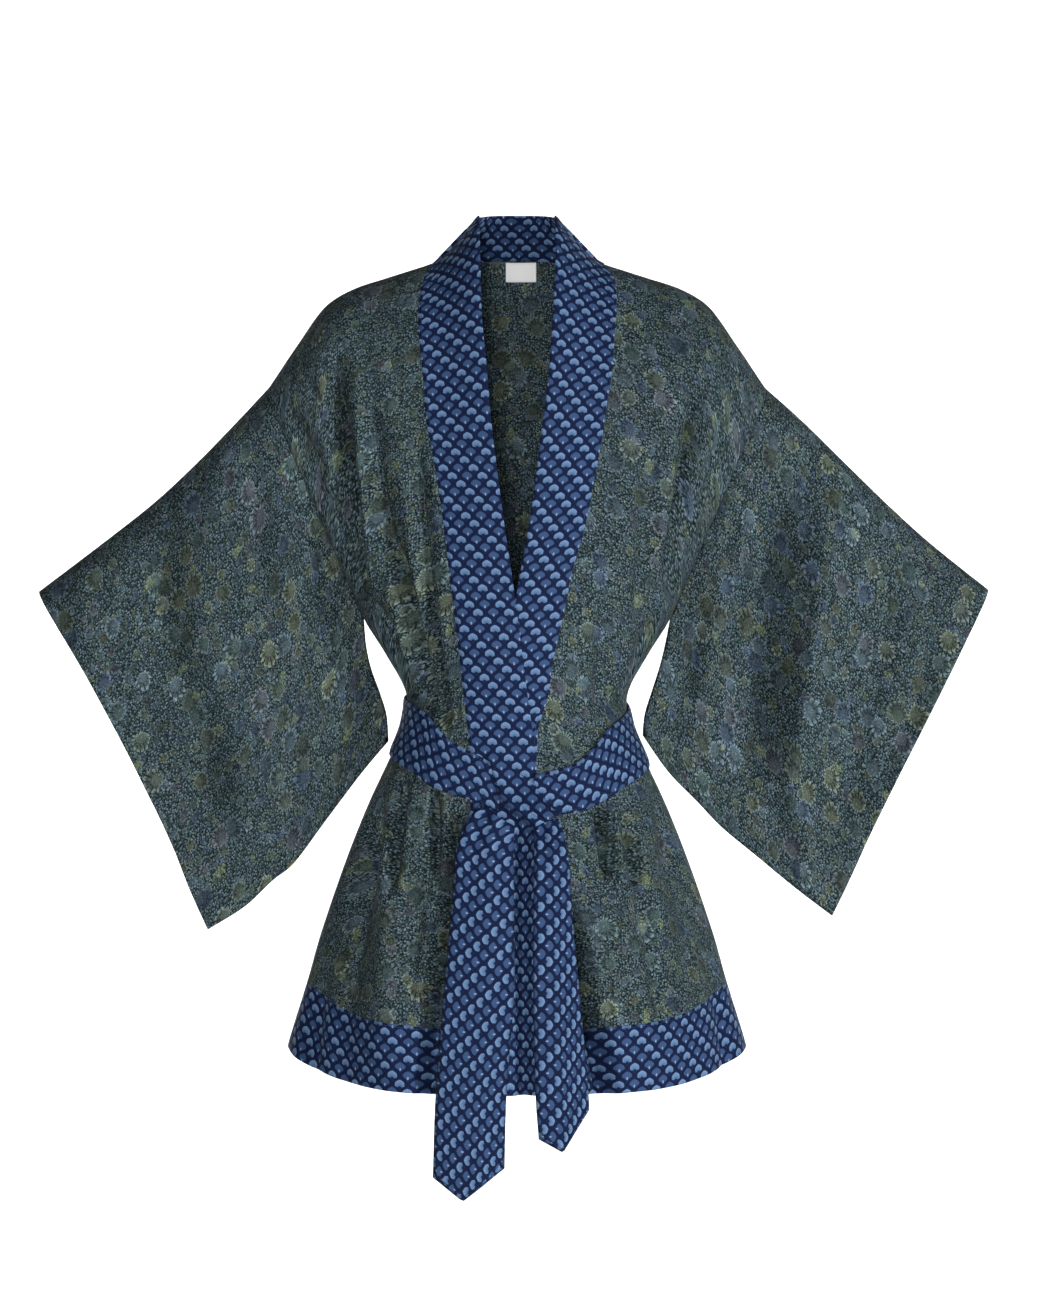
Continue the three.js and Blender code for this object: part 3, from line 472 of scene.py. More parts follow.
def flat_noise(tree, at, scale, detail, **more):
    """Soft noise over the flat cloth."""
    return add_node(tree, "ShaderNodeTexNoise", {"Vector": at, "Scale": scale, "Detail": detail, **more},
                    noise_dimensions="2D").outputs["Fac"]


def scatter(tree, at, shift, spacing, randomness=0.85):
    """Cells of one scatter: places round each cell's own point, the distance and three random numbers."""
    moved = add_node(tree, "ShaderNodeVectorMath", {0: at, 1: (shift, 2.3 * shift, 0)}, operation="ADD")
    cells = add_node(tree, "ShaderNodeTexVoronoi",
                     {"Vector": moved.outputs[0], "Scale": 1 / spacing, "Randomness": randomness},
                     voronoi_dimensions="2D", feature="F1").outputs
    local = add_node(tree, "ShaderNodeVectorMath", {0: moved.outputs[0], 1: cells["Position"]}, operation="SUBTRACT")
    axes = add_node(tree, "ShaderNodeSeparateXYZ", {0: local.outputs[0]})
    luck = add_node(tree, "ShaderNodeSeparateColor", {0: cells["Color"]})
    return axes.outputs, cells["Distance"], luck.outputs


def pick(tree, number, colours):
    """One of the colours by a random number."""
    palette = add_node(tree, "ShaderNodeValToRGB", {0: number})
    palette.color_ramp.interpolation = "CONSTANT"
    while len(palette.color_ramp.elements) < len(colours):
        palette.color_ramp.elements.new(0.5)
    for i, hex_colour in enumerate(colours):
        palette.color_ramp.elements[i].position = i / len(colours)
        palette.color_ramp.elements[i].color = linear(hex_colour)
    return palette.outputs["Color"]


HEART_ASIDE = 0.36  # way from a flower's middle to its heart, in parts of its radius


def flowers(tree, sums, at, shift, spacing, radius, petals):
    """One scatter of flowers drawn in pale lines: where they cover the ground, their ink and their luck."""
    (x, y, _), _, luck = scatter(tree, at, shift, spacing)
    size = sums.times(radius, sums.scaled(luck[2], 0.5, 0.5))
    r = sums("DIVIDE", sums.length(x, y), size)
    r = sums.times(r, sums.scaled(flat_noise(tree, at, 2.2 / radius, 1.0), 0.7, 0.65))
    # the heart lies beside the middle, so that the petals fan out further to one side
    lean = sums.times(luck[1], 6.28)
    heart_x = sums.scaled(sums.times(sums("COSINE", lean), size), HEART_ASIDE, x)
    heart_y = sums.scaled(sums.times(sums("SINE", lean), size), HEART_ASIDE, y)
    from_heart = sums("DIVIDE", sums.length(heart_x, heart_y), size)
    angle = sums.plus(sums("ARCTAN2", heart_y, heart_x), lean)
    count = sums.plus(petals, sums("FLOOR", sums.times(luck[0], 4.99)))
    turn = sums.times(angle, sums.times(count, 0.5))
    lobe, inner_lobe = sums("ABSOLUTE", sums("COSINE", turn)), sums("ABSOLUTE", sums("SINE", turn))
    to_rim = sums("SUBTRACT", sums.scaled(sums("POWER", lobe, 0.55), 0.3, 0.7), r)
    body = sums.smooth_step(to_rim, 0.0, 0.08)
    # each petal is pale at its end and darker towards the heart, with a dark line between two petals
    to_inner_rim = sums("SUBTRACT", sums.scaled(sums("POWER", inner_lobe, 0.55), 0.2, 0.4), from_heart)
    outer = sums.times(sums.smooth_step(lobe, 0.15, 0.75),
                       sums.scaled(sums.smooth_step(to_rim, 0.4, 0.06), 0.65, 0.35))
    inner = sums.times(sums.smooth_step(inner_lobe, 0.2, 0.8), sums.smooth_step(to_inner_rim, -0.02, 0.1), 0.55)
    heart = sums.times(sums.smooth_step(from_heart, 0.14, 0.07), 0.6)
    ink = sums("MAXIMUM", sums("MAXIMUM", outer, inner), heart)
    return body, sums.times(body, ink), luck


WEAVE_SCALE = 0.262  # threads 0.45 mm apart are too fine to show, so the weave is drawn 1.2 mm apart


def woven_relief(tree, sums, at, distortion, crumples, strength, height):
    """Relief of woven cloth: its threads both ways, and crumples of this strength and height in metres."""
    threads = [add_node(tree, "ShaderNodeTexWave",
                        {"Vector": at, "Scale": WEAVE_SCALE, "Distortion": distortion, "Detail": 1.0},
                        wave_type="BANDS", bands_direction=way).outputs["Fac"] for way in "XY"]
    weave = add_node(tree, "ShaderNodeBump", {"Strength": 0.25, "Distance": 0.0002, "Height": sums.plus(*threads)})
    return add_node(tree, "ShaderNodeBump", {"Strength": strength, "Distance": height, "Height": crumples,
                                             "Normal": weave.outputs["Normal"]}).outputs["Normal"]


# shift, spacing, largest radius, fewest petals, share left out, how much the flower hides the specks
FLOWER_SCATTERS = [(31, 9.0, 3.4, 4, 0.5, 0.6), (12, 15.0, 6.2, 6, 0.45, 0.68), (57, 27.0, 12.5, 12, 0.4, 0.74)]

printed_cloth, tree = new_material("printed_viscose")
sums = Sums(tree)
at = flat_cloth_mm(tree)
ground = sums.blend(flat_noise(tree, at, 0.012, 2.0), linear(GROUND_SHADE), linear(GROUND))
# the pale specks: nearly all the ground is strewn with them, in dots of two sizes
_, near, luck = scatter(tree, at, 5, 2.6, 0.95)
dot = sums.times(sums.smooth_step(near, 0.42, 0.2), sums.scaled(luck[0], 0.85, 0.15))
_, near, fine_luck = scatter(tree, at, 77, 1.5, 1.0)
fine_dot = sums.times(sums.smooth_step(near, 0.5, 0.2), sums.times(fine_luck[1], 0.42))
specks = sums("MAXIMUM", dot, fine_dot)
tint = pick(tree, luck[2], SPECK_COLOURS)
amount = sums.times(specks, 0.66)
for shift, spacing, radius, petals, left_out, cover in FLOWER_SCATTERS:
    body, ink, luck = flowers(tree, sums, at, shift, spacing, radius, petals)
    shown = sums.times(sums("GREATER_THAN", luck[2], left_out), body)
    tint = sums.blend(sums.times(shown, 0.9), tint, pick(tree, luck[0], FLOWER_COLOURS))
    inked = sums.scaled(sums("POWER", ink, 1.7), 0.95, sums.times(specks, 0.1))
    inked = sums.times(inked, sums.scaled(luck[1], 0.75, 0.35))
    share = sums.times(shown, cover)
    amount = sums.plus(sums.times(amount, sums("SUBTRACT", 1.0, share)), sums.times(inked, share))
colour = sums.blend(amount, ground, tint)
# a few small groups of leaves in dull yellow green
(x, y, _), _, luck = scatter(tree, at, 93, 47)
leaf_r = sums("SQRT", sums.plus(sums.times(x, x, 2.6), sums.times(y, y)))
leaf_rim = sums.times(flat_noise(tree, at, 0.3, 2.0), sums.scaled(luck[0], 8.0, 8.0))
leaves = sums.times(sums.smooth_step(sums("SUBTRACT", leaf_rim, leaf_r), 0.0, 1.2),
                    sums("GREATER_THAN", luck[1], 0.6))
colour = sums.blend(sums.times(leaves, sums.scaled(specks, 0.45, 0.2)), colour, linear(LEAF_COLOUR))
crumples = flat_noise(tree, at, 0.055, 4.0, Roughness=0.55)
surface(tree, {"Base Color": colour, "Roughness": 0.85, "Specular IOR Level": 0.12, "Sheen Weight": 0.01,
               "Sheen Roughness": 0.4, "Normal": woven_relief(tree, sums, at, 0.6, crumples, 0.5, 0.003)})


def back_points(half_rows):
    """Both halves of rows of places on the back, with its folds, and the places of the flat cloth."""
    half = np.array(half_rows)
    mirrored = half[:, :0:-1] * (-1, 1)
    place = np.concatenate([mirrored, half], axis=1)
    x, z = place[..., 0], place[..., 1]
    across = np.abs(x) / side_x(z)
    top = np.where(np.abs(x) < NECK_HALF, neckline(x), ridge_z(np.abs(x)))
    free = ease(0, 0.1, 1 - across) * ease(8, 60, top - z) * mix(0.25, 1, clear_of_belt(x, z, 1, 24))
    return on_form(x, z, 1, free * (folds(x, z, BACK_FOLDS) + waves(x, z, 1.3))), laid_flat(on_form(x, z, 1))


neck_x = NECK_HALF * np.sin(np.radians(90) * steps(NECK_STEPS))
back_top = np.concatenate([np.stack([neck_x, neckline(neck_x)], -1), shoulder[1:]])
back_count = len(back_top) - 1
centre_line = np.stack([np.zeros(UPPER_ROWS + 1), mix(NECK_RISE, UNDERARM_Z, upper_parts)], -1)
back_upper = patch(back_top, across_to((UNDERARM_Z, UNDERARM_Z), 0, back_count), centre_line, armhole, upper_parts)
back_lower = np.array([across_to(line, 0, back_count) for line in body_lines])
back_grid, back_flat = back_points(np.concatenate([back_upper, back_lower]))
back_flat[..., 0] -= back_flat[:, back_count:back_count + 1, 0]
back = cloth_piece("back_panel", back_grid, back_flat, CLOTH, printed_cloth, "back")

# ---------------------------------------------------------------------------------------------
# Fronts: two panels of the same printed cloth, cut away for the neckband. The wearer's right front
# laps over the left one and the belt holds both, so creases run down to the belt and out below it.
LAP = 3.4
# z, x of the neckband's seam and of its free edge, and how much higher the free edge lies
RIGHT_BAND = [
    (NECK_POINT_Z, -NECK_HALF, -BAND_EDGE_HALF, BAND_EDGE_Z - NECK_POINT_Z), (-16, -92, -38.5, 38),
    (-34, -95.5, -37.5, 28), (-75, -96.5, -35.7, 14), (-126, -91, -30.5, 8), (-169, -87.7, -26.5, 4),
    (-200, -81.7, -22.6, 0), (-261, -71.7, -14.7, 0), (-321, -63.8, -5.9, 0), (-365, -57.9, 0, 0),
    (-435, -50, 8.8, 0), (-489, -44.3, 15.7, 0), (-524, -43.5, 15.8, 0), (-830, -43, 16.2, 0)]
LEFT_BAND = [
    (NECK_POINT_Z, NECK_HALF, BAND_EDGE_HALF, BAND_EDGE_Z - NECK_POINT_Z), (-16, 96, 40, 38),
    (-34, 99, 39.5, 28), (-81, 95.5, 36.2, 14), (-115, 93, 33.6, 9), (-148, 87.8, 30, 5), (-190, 81.7, 23.6, 0),
    (-231, 73.7, 18.7, 0), (-271, 65.8, 12.8, 0), (-321, 52, 3.9, 0), (-365, 43, -5, 0), (-408, 33.4, -15, 0),
    (-443, 28.5, -26, 0), (-470, 20, -34, 0), (-506, 17.5, -40, 0), (-830, 18.5, -41, 0)]
RIGHT_FRONT_FOLDS = [
    (-180, -92, -160, -352, 8, -13, 3), (-146, -125, -118, -345, 10, -4.6, 3), (-127, -280, -86, -470, 6.5, -10, -3),
    (-97, -190, -82, -360, 8, -4.4, 2), (-90, -320, -68, -478, 5, -8, 2), (-59, -335, -54, -400, 7, -2.4, 0),
    (-236, -138, -182, -232, 7, -2.6, 4), (-222, -112, -170, -205, 6, -2, -4), (-226, -178, -172, -268, 7, -2.2, 5),
    (-205, -232, -168, -322, 7, -2.4, -4), (-152, -338, -108, -440, 6, -3.4, -2), (-136, -352, -96, -468, 5, -2.4, 2),
    (-146, -520, -178, -815, 17, -10, 5), (-113, -522, -123, -640, 5.5, -8, 2), (-83, -528, -79, -625, 5, -7, 1),
    (-101, -520, -103, -640, 8, 1.6, 1), (-126, -560, -134, -790, 14, 2.4, 2), (-94, -640, -108, -800, 11, -3, 2),
    (-136, -505, -166, -640, 7, -4, 5), (-186, -580, -216, -790, 10, -3.5, 4), (-200, -700, -206, -815, 9, -3, 2),
    (-56, -552, -68, -660, 7, -10, -1), (-66, -640, -87, -820, 8.5, -15, 1)]
LEFT_FRONT_FOLDS = [
    (176, -120, 152, -352, 8, -8, -4), (140, -180, 120, -400, 13, -3.6, 3), (98, -300, 84, -466, 11, -3.6, 3),
    (83, -530, 93, -625, 5.5, -8, 2), (107, -560, 120, -640, 5, -5.5, -2), (118, -630, 142, -750, 9, -5.5, -2),
    (62, -560, 66, -700, 9, 2.6, 1), (150, -560, 190, -815, 15, -4.5, -5), (186, -600, 214, -815, 10, -4, -3),
    (100, -650, 108, -800, 16, 4, 2), (228, -136, 178, -236, 7, -2.2, -4), (216, -196, 166, -300, 7, -2.2, 5),
    (190, -262, 150, -346, 7, -2.2, -5), (152, -345, 108, -452, 6, -3, 3), (66, -380, 58, -490, 6, -2, 0),
    (128, -392, 94, -462, 5, -2, -2), (64, -556, 68, -650, 7, -3, 0), (134, -520, 160, -640, 8, -3, -4),
    (54, -640, 71, -765, 7, -10, 1), (68, -745, 82, -822, 9.5, -16, 0)]


# side, line of the neckband's seam, folds, whether it laps over the other front
FRONTS = {"right": (-1, smooth(RIGHT_BAND), RIGHT_FRONT_FOLDS, True),
          "left": (1, smooth(LEFT_BAND), LEFT_FRONT_FOLDS, False)}
seam_heights = np.concatenate([mix(NECK_POINT_Z, UNDERARM_Z, upper_parts), [line[0] for line in body_lines]])


def lap_at(z):
    return LAP * ease(230, 330, -z)


def front_points(rows, side, seam, table, laps):
    """Rows of places on one side of the front, with its folds and its lap, and their flat cloth."""
    place = np.array(rows)
    x, z = side * place[..., 0], place[..., 1]
    from_seam = np.abs(x - seam(z))
    lap = lap_at(z) * (1 - ease(0, 70, from_seam)) if laps else 0
    free = ease(0, 16, from_seam) * ease(0, 0.075, 1 - place[..., 0] / side_x(z))
    free = free * ease(8, 50, ridge_z(np.abs(x)) - z) * mix(0.25, 1, clear_of_belt(x, z, -1, 12))
    return on_form(x, z, -1, lap + free * (folds(x, z, table) + waves(x, z, 1.3))), laid_flat(on_form(x, z, -1))


def front_piece(key):
    side, seam, _, _ = FRONTS[key]
    line = np.stack([np.abs(seam(seam_heights)), seam_heights], -1)
    under = across_to((UNDERARM_Z, UNDERARM_Z), line[UPPER_ROWS, 0], RIDGE_STEPS)
    upper = patch(shoulder, under, line[:UPPER_ROWS + 1], armhole, upper_parts)
    lower = [across_to(level, line[UPPER_ROWS + 1 + i, 0], RIDGE_STEPS) for i, level in enumerate(body_lines)]
    grid, flat = front_points(np.concatenate([upper, lower]), *FRONTS[key])
    flat[..., 0] = side * (flat[..., 0] + line[:, :1])
    piece = cloth_piece(f"front_{key}_panel", grid, flat, CLOTH, printed_cloth, f"front_{key}")


front_piece("right")
front_piece("left")

# ---------------------------------------------------------------------------------------------
# Sleeves: wide straight lengths of the printed cloth, folded along the top over the arm, sewn to the
# armhole and shut below it, with a narrow turned hem at the open cuff.
SLEEVE_ROWS, SLIT_ROWS, SLEEVE_STEPS = 44, 16, 64
SLEEVES = {
    "right": dict(
        ridge=[(254, -130), (284, -162), (325, -204), (369, -245), (421, -286), (487, -336)],
        cuff=[(487, -336), (439, -412), (398, -489), (352, -590), (333, -639), (315, -681)],
        bottom=[(131, -489), (158, -521), (195, -570), (227, -613), (249, -631), (278, -658), (315, -681)],
        slit=[(156, -364), (154, -390), (149, -414), (140, -439), (133, -462), (131, -489)]),
    "left": dict(
        ridge=[(254, -130), (290, -162), (333, -204), (375, -245), (420, -286), (480, -334)],
        cuff=[(480, -334), (446, -398), (403, -488), (365, -569), (338, -630), (321, -667)],
        bottom=[(128, -483), (154, -520), (184, -551), (209, -577), (244, -606), (283.5, -638.5), (321, -667)],
        slit=[(156, -364), (151, -390), (145, -414), (137, -439), (130, -462), (128, -483)]),
}
SLEEVE_FRONT_FOLDS = {
    "right": [
        (268, -170, 262, -300, 18, -5, 3), (268, -250, 280, -520, 24, -6, -5), (318, -225, 268, -590, 26, 6, 4),
        (385, -285, 318, -610, 28, -6, 6), (250, -150, 214, -300, 8, -3, -4), (232, -215, 190, -372, 9, -3.2, 4),
        (300, -205, 246, -345, 9, -2.4, -5), (205, -330, 168, -470, 9, -3, 4),
        (430, -330, 372, -520, 14, -3.4, 6), (228, -480, 240, -600, 14, -3, 3), (350, -420, 330, -600, 14, 2.6, 3)],
    "left": [
        (268, -170, 236, -520, 24, -6, 5), (232, -300, 219, -400, 12, -4, 3), (318, -225, 268, -590, 25, 6, -4),
        (385, -285, 318, -610, 27, -5, -6), (372, -262, 455, -330, 9, -3.2, 2), (340, -240, 430, -340, 10, -3, -4),
        (250, -150, 210, -310, 8, -3, 4), (226, -225, 180, -380, 9, -3, -4), (200, -340, 160, -460, 9, -2.8, 3),
        (262, -540, 272, -620, 12, -4, 2), (430, -350, 365, -540, 14, -3, -5)],
}
SLEEVE_BACK_FOLDS = [
    (276, -180, 240, -510, 24, 6, 4), (330, -235, 276, -590, 25, -7, -5), (400, -300, 330, -600, 26, 5, 4),
    (250, -150, 208, -330, 8, -3, 4), (228, -220, 182, -380, 9, -3, -3), (300, -200, 250, -360, 9, -2.6, 4),
    (210, -350, 168, -470, 9, -3, 3), (440, -345, 380, -520, 13, -3, -5)]
ARM_BULGE, FOLD_BULGE = (42, 33), (7, 9)  # half the depth of the sleeve at the armhole and at the cuff
SLEEVE_GAP, SEWN_IN = 2.2, 1.2            # half the least gap between its faces; how far a seam draws it in


def run_along(places):
    """Length along a line of places, from its start to each of them."""
    return np.concatenate([[0], np.cumsum(np.linalg.norm(np.diff(places, axis=0), axis=1))])


def flat_curve(places, parts):
    """Places along a smooth flat line through the given ones, evenly by length."""
    p = np.array(places, float)
    dense = []
    for i in range(len(p) - 1):
        p0, p1, p2, p3 = p[max(i - 1, 0)], p[i], p[i + 1], p[min(i + 2, len(p) - 1)]
        t = np.linspace(0, 1, 60, endpoint=i == len(p) - 2)[:, None]
        v0, v1 = (p2 - p0) / 2, (p3 - p1) / 2
        dense.append((2 * p1 - 2 * p2 + v0 + v1) * t ** 3 + (-3 * p1 + 3 * p2 - 2 * v0 - v1) * t * t
                     + v0 * t + p1)
    dense = np.concatenate(dense)
    run = run_along(dense)
    return np.stack([np.interp(np.asarray(parts) * run[-1], run, dense[:, k]) for k in (0, 1)], -1)


def sleeve_piece(side, key):
    """Makes a sleeve from its outline, mirrored by side, and returns its grid, front face first."""
    outline = SLEEVES[key]
    hole_z = mix(ARMHOLE_Z, UNDERARM_Z, 1 - np.cos(np.radians(90) * steps(SLEEVE_ROWS)))
    slit = flat_curve(outline["slit"], 1 - (1 - steps(SLIT_ROWS)[1:]) ** 1.5)
    inner = np.concatenate([np.stack([side_x(hole_z), hole_z], -1), slit])
    down = run_along(inner) / run_along(inner)[-1]
    s = steps(SLEEVE_STEPS)
    place = patch(flat_curve(outline["ridge"], s), flat_curve(outline["bottom"], s), inner,
                  flat_curve(outline["cuff"], down), down)
    x, z = place[..., 0], place[..., 1]
    hole_top = ridge_z(inner[:, 0])
    p = np.clip((hole_top - inner[:, 1]) / (hole_top - UNDERARM_Z), 0, 1)
    at_hole = np.where(np.arange(len(down)) <= SLEEVE_ROWS, ARM_HALF * arm_lens(p), 0)[:, None]
    f = down[:, None]
    arm = mix(*ARM_BULGE, s) * 3.5 * np.sqrt(f) * (1 - f) ** 2
    fold = mix(*FOLD_BULGE, s) * np.sqrt(np.maximum(0, 1 - (2 * f - 1) ** 4))
    half = mix(at_hole, arm + fold, ease(0, 0.36, s))
    half = np.maximum(half, SLEEVE_GAP * np.sqrt(ease(0, 0.05, s)) * ease(0, 0.04, f) * ease(0, 0.04, 1 - f))
    half[0], half[-1] = 0, 0
    free = ease(0, 0.25, s) * ease(0, 0.12, f) * ease(0, 0.1, 1 - f)
    rings, flat_rings = [], []
    for face, table in ((-1, SLEEVE_FRONT_FOLDS[key]), (1, SLEEVE_BACK_FOLDS)):
        lift = free * (folds(x, z, table, NO_HEM) + waves(x, z, 0.7))
        sewn = SEWN_IN * (1 - ease(0, 0.03, s)) * ease(0, 0.02, f)
        y = face * (np.maximum(half + lift, np.minimum(half, SEWN_IN)) - np.minimum(sewn, half))
        rings.append(np.stack([side * x, y, z], -1))
        flat_rings.append(np.stack([side * x, face * half, z], -1))
    rings[1][0], rings[1][-1] = rings[0][0], rings[0][-1]
    grid = np.concatenate([rings[0], rings[1][::-1][1:]]).transpose(1, 0, 2)
    flat = laid_flat(np.concatenate([flat_rings[0], flat_rings[1][::-1][1:]]).transpose(1, 0, 2),
                     start_v=900 if side > 0 else 300)
    piece = cloth_piece(f"sleeve_{key}_cloth", grid, flat, CLOTH, printed_cloth, f"sleeve_{key}")
    return grid


sleeve_grids = [sleeve_piece(-1, "right"), sleeve_piece(1, "left")]

# ---------------------------------------------------------------------------------------------
# Neckband: a doubled strip of navy printed cloth, 61 mm wide, sewn to the edge of both fronts and
# round the back of the neck, where it stands up. It runs to the foot of the hem bands.
BAND_CLOTH = 1.8
BAND_STEPS = 14
BAND_EDGE_BACK, BAND_EDGE_BACK_Z = 42.0, 53.0

# Close-woven cotton printed navy with rows of small fans, the colours in turn along the diagonals.
# Fans are 15.3 mm apart along a row and the rows 8.05 mm apart, half a step aside.
NAVY, NAVY_DEEP = "0d2048", "07122c"
FAN_LIGHT, FAN_MID, FAN_PALE = "6a8ab2", "3c557e", "90a9ca"
FAN_STEP, FAN_ROWS = 15.3, 16.1
FAN_FOOT, FAN_REACH, FAN_SHORTER = 3.9, 7.9, 1.95  # foot below the middle, reach upwards, loss at the sides

fan_print, tree = new_material("printed_cotton_fans")
sums = Sums(tree)
at = flat_cloth_mm(tree)
axes = add_node(tree, "ShaderNodeSeparateXYZ", {0: at})
across = sums("DIVIDE", axes.outputs[0], FAN_STEP)
upward = sums("DIVIDE", axes.outputs[1], FAN_ROWS)
round_x, round_y = sums("ROUND", across), sums("ROUND", upward)
floor_x, floor_y = sums("FLOOR", across), sums("FLOOR", upward)
near_x, near_y = sums("SUBTRACT", across, round_x), sums("SUBTRACT", upward, round_y)
to_corner = sums.plus(sums("ABSOLUTE", near_x), sums("ABSOLUTE", near_y))
between = sums("GREATER_THAN", to_corner, 0.5)  # 1 on the fans of the rows in between
far_x = sums("SUBTRACT", sums("SUBTRACT", across, floor_x), 0.5)
far_y = sums("SUBTRACT", sums("SUBTRACT", upward, floor_y), 0.5)


def either(first, second):
    """first on the even rows and second on the rows in between."""
    return sums.plus(first, sums.times(between, sums("SUBTRACT", second, first)))


x = sums.times(either(near_x, far_x), FAN_STEP)
y = sums.times(either(near_y, far_y), FAN_ROWS)
diagonal = either(sums.plus(round_x, round_y), sums.plus(sums.plus(floor_x, floor_y), 1.0))
light = sums("FLOORED_MODULO", diagonal, 2.0)
# polar coordinates round the foot of the fan, below its middle; the darker fans are a little larger
grown = sums.scaled(light, 0.08, 1.0)
x = sums.times(x, grown)
foot_y = sums.times(sums.plus(y, FAN_FOOT), grown)
angle = sums("ABSOLUTE", sums("ARCTAN2", x, foot_y))
r = sums.length(x, foot_y)
scallop = sums("ABSOLUTE", sums("COSINE", sums.times(angle, 4.5)))
rim = sums("SUBTRACT", FAN_REACH, sums.times(sums("POWER", angle, 1.6), FAN_SHORTER))
rim = sums.scaled(scallop, 0.3, rim)
dome = sums.smooth_step(sums("SUBTRACT", rim, r), -0.3, 0.35)
ribs = sums.smooth_step(sums("ABSOLUTE", sums("COSINE", sums.times(angle, 9.0))), 0.5, 0.15)
notch = sums.smooth_step(r, 2.3, 1.6)
cap = sums.times(dome, sums.smooth_step(angle, 1.4, 1.15))
shield = sums.times(dome, sums.smooth_step(angle, 1.1, 0.9))
stem = sums.times(sums.smooth_step(sums("ABSOLUTE", x), 0.95, 0.5),
            sums.smooth_step(sums("ABSOLUTE", sums("SUBTRACT", foot_y, 1.5)), 1.7, 1.0))
net = sums.smooth_step(sums("ABSOLUTE", sums("SUBTRACT", to_corner, 0.5)), 0.085, 0.02)
ground = sums.blend(net, linear(NAVY), linear(NAVY_DEEP))
pale_fan = sums.blend(sums.times(sums.smooth_step(r, 5.6, 7.3), 0.4), linear(FAN_LIGHT), linear(FAN_PALE))
pale_fan = sums.blend(sums.times(ribs, 0.55), pale_fan, linear(FAN_MID))
pale_fan = sums.blend(sums.times(sums.smooth_step(r, 5.6, 2.2), 0.6), pale_fan, linear(FAN_MID))
pale_fan = sums.blend(notch, pale_fan, linear(NAVY))
mid_fan = sums.blend(sums.times(ribs, 0.4), linear(FAN_MID), linear(NAVY))
mid_fan = sums.blend(sums.times(stem, 0.85), mid_fan, linear(FAN_PALE))
colour = sums.blend(sums.times(light, cap), ground, pale_fan)
colour = sums.blend(sums.times(sums("SUBTRACT", 1.0, light), sums("MAXIMUM", shield, stem)), colour, mid_fan)
colour = sums.blend(sums.times(flat_noise(tree, at, 0.35, 3.0), 0.28), colour, linear(NAVY_DEEP))
crumples = flat_noise(tree, at, 0.06, 4.0)
surface(tree, {"Base Color": colour, "Roughness": 0.8, "Specular IOR Level": 0.15, "Sheen Weight": 0.02,
               "Sheen Roughness": 0.5, "Normal": woven_relief(tree, sums, at, 0.4, crumples, 0.4, 0.002)})

BAND_RAISE = 0.8   # the band's outer layer lies this much above the panel that is sewn into it
BAND_TUCK = 1.2    # and the panel reaches this far into it
BAND_WAVE = 0.3    # height of the soft waves along the band


def between_ends(x, z):
    """The hollow in which both fronts' bands lie between the hanging ends of the belt."""
    return 14 * np.maximum(0, 1 - ((x - 6.5) / 10) ** 2) ** 2 * ease(545, 590, -z)


def band_rows(table, laps):
    """The band down one front: rows from the neck point to the foot, seam to free edge."""
    heights = np.concatenate([seam_heights, [line[0] for line in hem_lines[1:]]])
    seam, edge, lead = smooth(table, 1), smooth(table, 2), smooth(table, 3)
    away = math.copysign(BAND_TUCK, float(seam(-1.0)))
    t = steps(BAND_STEPS)[None, :]
    rise = ease(0, 60, NECK_POINT_Z - heights)
    x = mix((seam(heights) + away * rise)[:, None], edge(heights)[:, None], t)
    z = mix(heights[:, None], (heights + lead(heights))[:, None], t)
    lap = (lap_at(z) if laps else 0) + BAND_RAISE * rise[:, None]
    lap = lap + BAND_WAVE * (rise * np.sin(heights / 17.0))[:, None] * np.sin(math.pi * t)
    grid = on_form(x, z, -1, lap - between_ends(x, z))
    grid[0, :, 1] = 0
    grid[0, :, 2] = ridge_z(np.abs(x[0]))
    return grid


def neck_rows(count):
    """The band round the back of the neck, from the wearer's right to the left."""
    turn = np.radians(np.linspace(-90, 90, count + 1)[1:-1])[:, None]
    sine, cosine = np.sin(turn), np.cos(turn)
    x = NECK_HALF * sine
    seam = np.concatenate([x, neck_depth(x), neckline(x)], -1)
    edge = np.concatenate([BAND_EDGE_HALF * np.sign(sine) * np.sqrt(np.abs(sine)), BAND_EDGE_BACK * np.sqrt(cosine),
                           mix(BAND_EDGE_Z, BAND_EDGE_BACK_Z, cosine)], -1)
    t = steps(BAND_STEPS)[None, :, None]
    return mix(seam[:, None], edge[:, None], t)


right_rows, left_rows = band_rows(RIGHT_BAND, True), band_rows(LEFT_BAND, False)
round_rows = neck_rows(2 * NECK_STEPS)
band_grid = np.concatenate([right_rows[::-1], round_rows, left_rows])
band_flat = laid_flat(band_grid)
length = -band_flat[..., 1].mean(1)
first, last = len(right_rows) - 1, len(right_rows) + len(round_rows)
width = band_flat[..., 0]
total = length[-1]
# the print stands upright on both fronts and behind the neck, where the strip is joined
band_flat = np.stack([width, np.repeat(length[:, None], BAND_STEPS + 1, 1)], -1)
band_flat[last:] = np.stack([-width[last:], np.repeat((total - length[last:])[:, None], BAND_STEPS + 1, 1)], -1)
band_flat[first + 1:last] = np.stack([np.repeat(length[first + 1:last, None], BAND_STEPS + 1, 1),
                                      width[first + 1:last]], -1)
neckband = cloth_piece("neckband_cloth", band_grid, band_flat, BAND_CLOTH, fan_print, "neckband")

# ---------------------------------------------------------------------------------------------
# Hem bands: doubled strips of the fan cotton, 63 mm deep, sewn along the foot of the back and of the
# fronts, shaped with the hem that rises to the side seams.


def hem_band(key, points, side, flat_start):
    """Makes a hem band from its grid and its places on the flat cloth, and returns the grid."""
    grid, foot = points
    uv = np.stack([side * (foot[..., 0] + flat_start), foot[..., 1]], -1)
    piece = cloth_piece(f"hem_band_{key}_cloth", grid, uv, BAND_CLOTH, fan_print, f"hem_band_{key}")
    return grid


